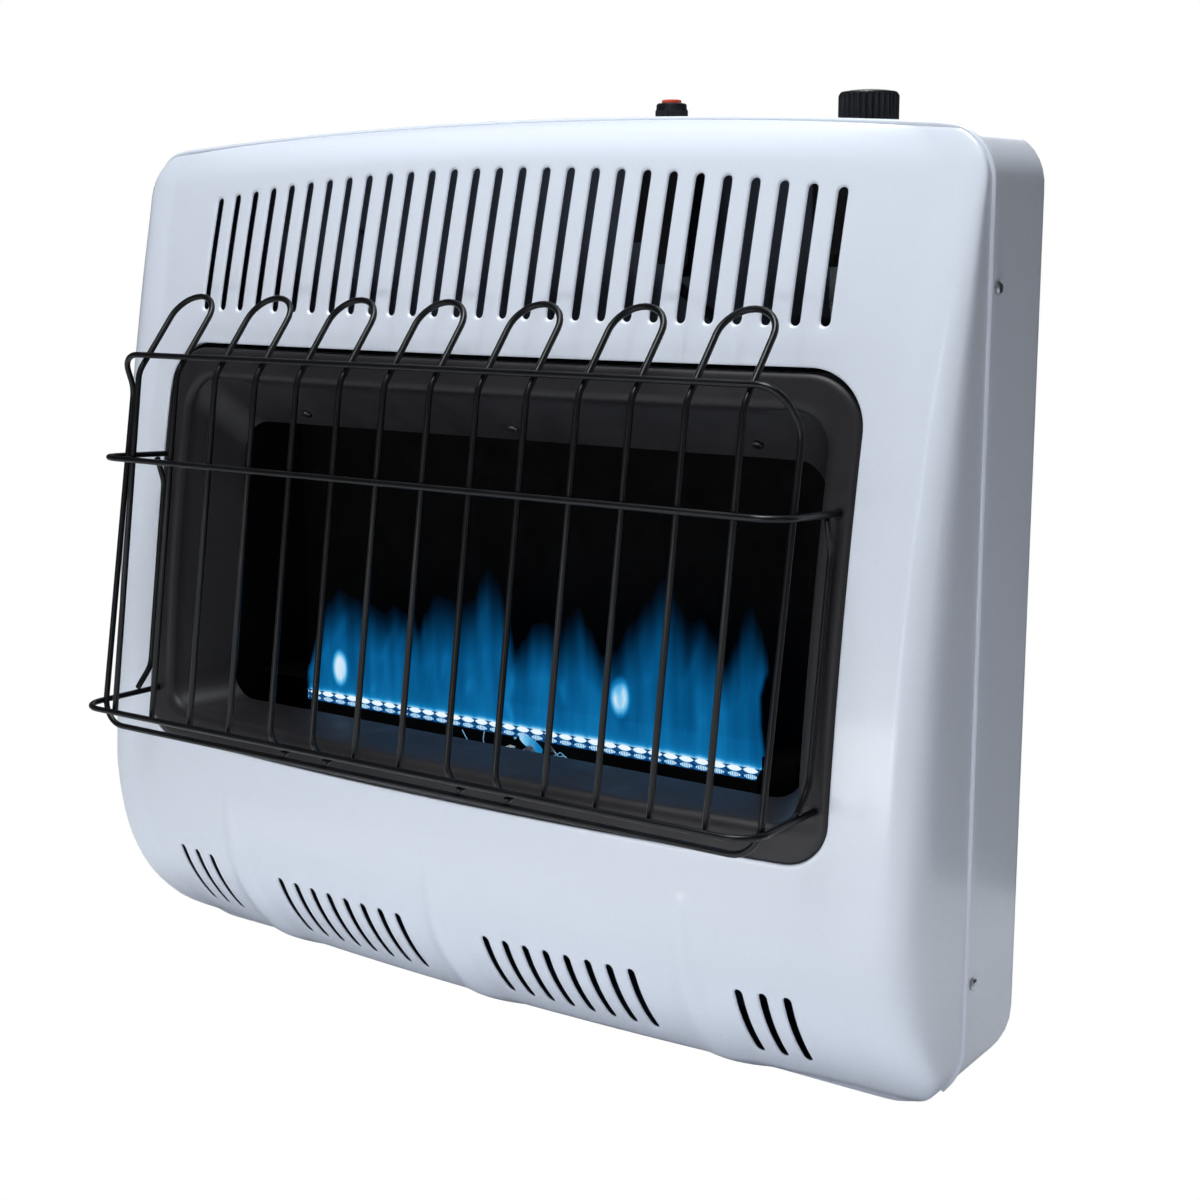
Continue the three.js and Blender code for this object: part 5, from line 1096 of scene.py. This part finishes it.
black_zinc = worn_metal("black zinc plate", (92, 90, 94), (52, 51, 55), (0.3, 0.45), 1300, 0.00002)
dress(black_zinc, *[f"bezel_screw_{number}" for number in (1, 2, 3)])

# Stage: a pale floor, a white surround, and the photograph's camera. One large lamp stands overhead; weaker
# ones in front, behind, at the right and under the foot open the shadows.
def hide_from_camera(tree, lit, plain, end):
    """Light that comes to the node named end is lit's; the camera sees plain there."""
    seen = add_node(tree, "LightPath", "Is Camera Ray", {})
    mix = add_node(tree, "MixShader", "Shader", {"Fac": seen, 1: lit, 2: plain})
    feed(tree, tree.nodes[end], {"Surface": mix})


def build_floor(back):
    """A pale floor just under the heater that ends at the given distance behind the wall face, so that the
    side panel mirrors its edge. The camera sees it as plain white."""
    mesh = bpy.data.meshes.new("floor")
    mesh.from_pydata([(-5, -5, -0.318), (5, -5, -0.318), (5, back, -0.318), (-5, back, -0.318)], [],
                     [(0, 1, 2, 3)])
    material, tree, shader, place = paint_nodes("pale floor")
    tone = blend_colours(tree, noise(tree, place, 3), [(0.3, (236, 238, 242)), (0.7, (242, 244, 247))])
    feed(tree, shader, {"Base Color": tone, "Roughness": 0.9})
    plain = add_node(tree, "Emission", "Emission", {})
    hide_from_camera(tree, shader.outputs["BSDF"], plain, "Material Output")
    mesh.materials.append(material)
    floor = new_object("floor", mesh)


def soft_light(name, at, target, size, power, tint=(1, 1, 1)):
    """An oblong lamp at a place, turned to its target, that the camera doesn't see."""
    lamp = bpy.data.lights.new(name, "AREA")
    lamp.shape, lamp.size, lamp.size_y, lamp.energy, lamp.color = "RECTANGLE", size[0], size[1], power, tint
    thing = new_object(name, lamp)
    thing.location = at
    thing.rotation_euler = (Vector(target) - Vector(at)).to_track_quat("-Z", "Y").to_euler()
    thing.visible_camera = False


def white_surround(level, left):
    """World: a low level all round plus a soft brightness towards the left; the camera sees it as white."""
    world = bpy.data.worlds.new("studio")
    bpy.context.scene.world = world
    world.use_nodes = True
    tree = world.node_tree
    way = add_node(tree, "TexCoord", "Generated", {})
    rise = {"From Min": 0, "From Max": -1, "To Min": level, "To Max": level + left,
            "Value": add_node(tree, "SeparateXYZ", "X", {"Vector": way})}
    lit = tree.nodes["Background"]
    feed(tree, lit, {"Strength": add_node(tree, "MapRange", "Result", rise), "Color": (0.9, 0.95, 1, 1)})
    plain = add_node(tree, "Background", "Background", {"Color": (1, 1, 1, 1)})
    hide_from_camera(tree, lit.outputs["Background"], plain, "World Output")


build_floor(0.36)
white_surround(0.035, 0.045)
soft_light("top", (0.1, -0.4, 2.3), (0, -0.1, 0), (0.9, 1.2), 61, (0.95, 0.99, 1))
soft_light("front", (0.42, -2.6, 0.3), (0, -0.1, 0), (0.1, 1.8), 4, (0.82, 0.86, 1))
soft_light("low front", (-0.1, -1.8, -0.2), (0, -0.1, -0.1), (1.4, 0.2), 5, (0.98, 1, 0.96))
soft_light("rear", (-0.8, 2.4, 1.2), (0, 0, 0), (1.4, 1.4), 12)
soft_light("side strip", (2.36, -0.8, 0.3), (0.3, -0.1, 0.1), (0.05, 1.8), 2.4)
soft_light("floor glow", (0.4, -0.5, -0.31), (0.4, -0.49, 1), (1.8, 0.4), 1)

camera = new_object("camera", bpy.data.cameras.new("camera"))
camera.data.sensor_width, camera.data.lens = 36, 56.994
camera.data.clip_start, camera.data.clip_end = 0.05, 30
bpy.context.scene.camera = camera
camera.location = (0.7916, -1.1071, 0.2353)
camera.rotation_euler = (1.38165592, 0.00253722, 0.60985129)

bpy.context.scene.view_settings.view_transform = "Standard"
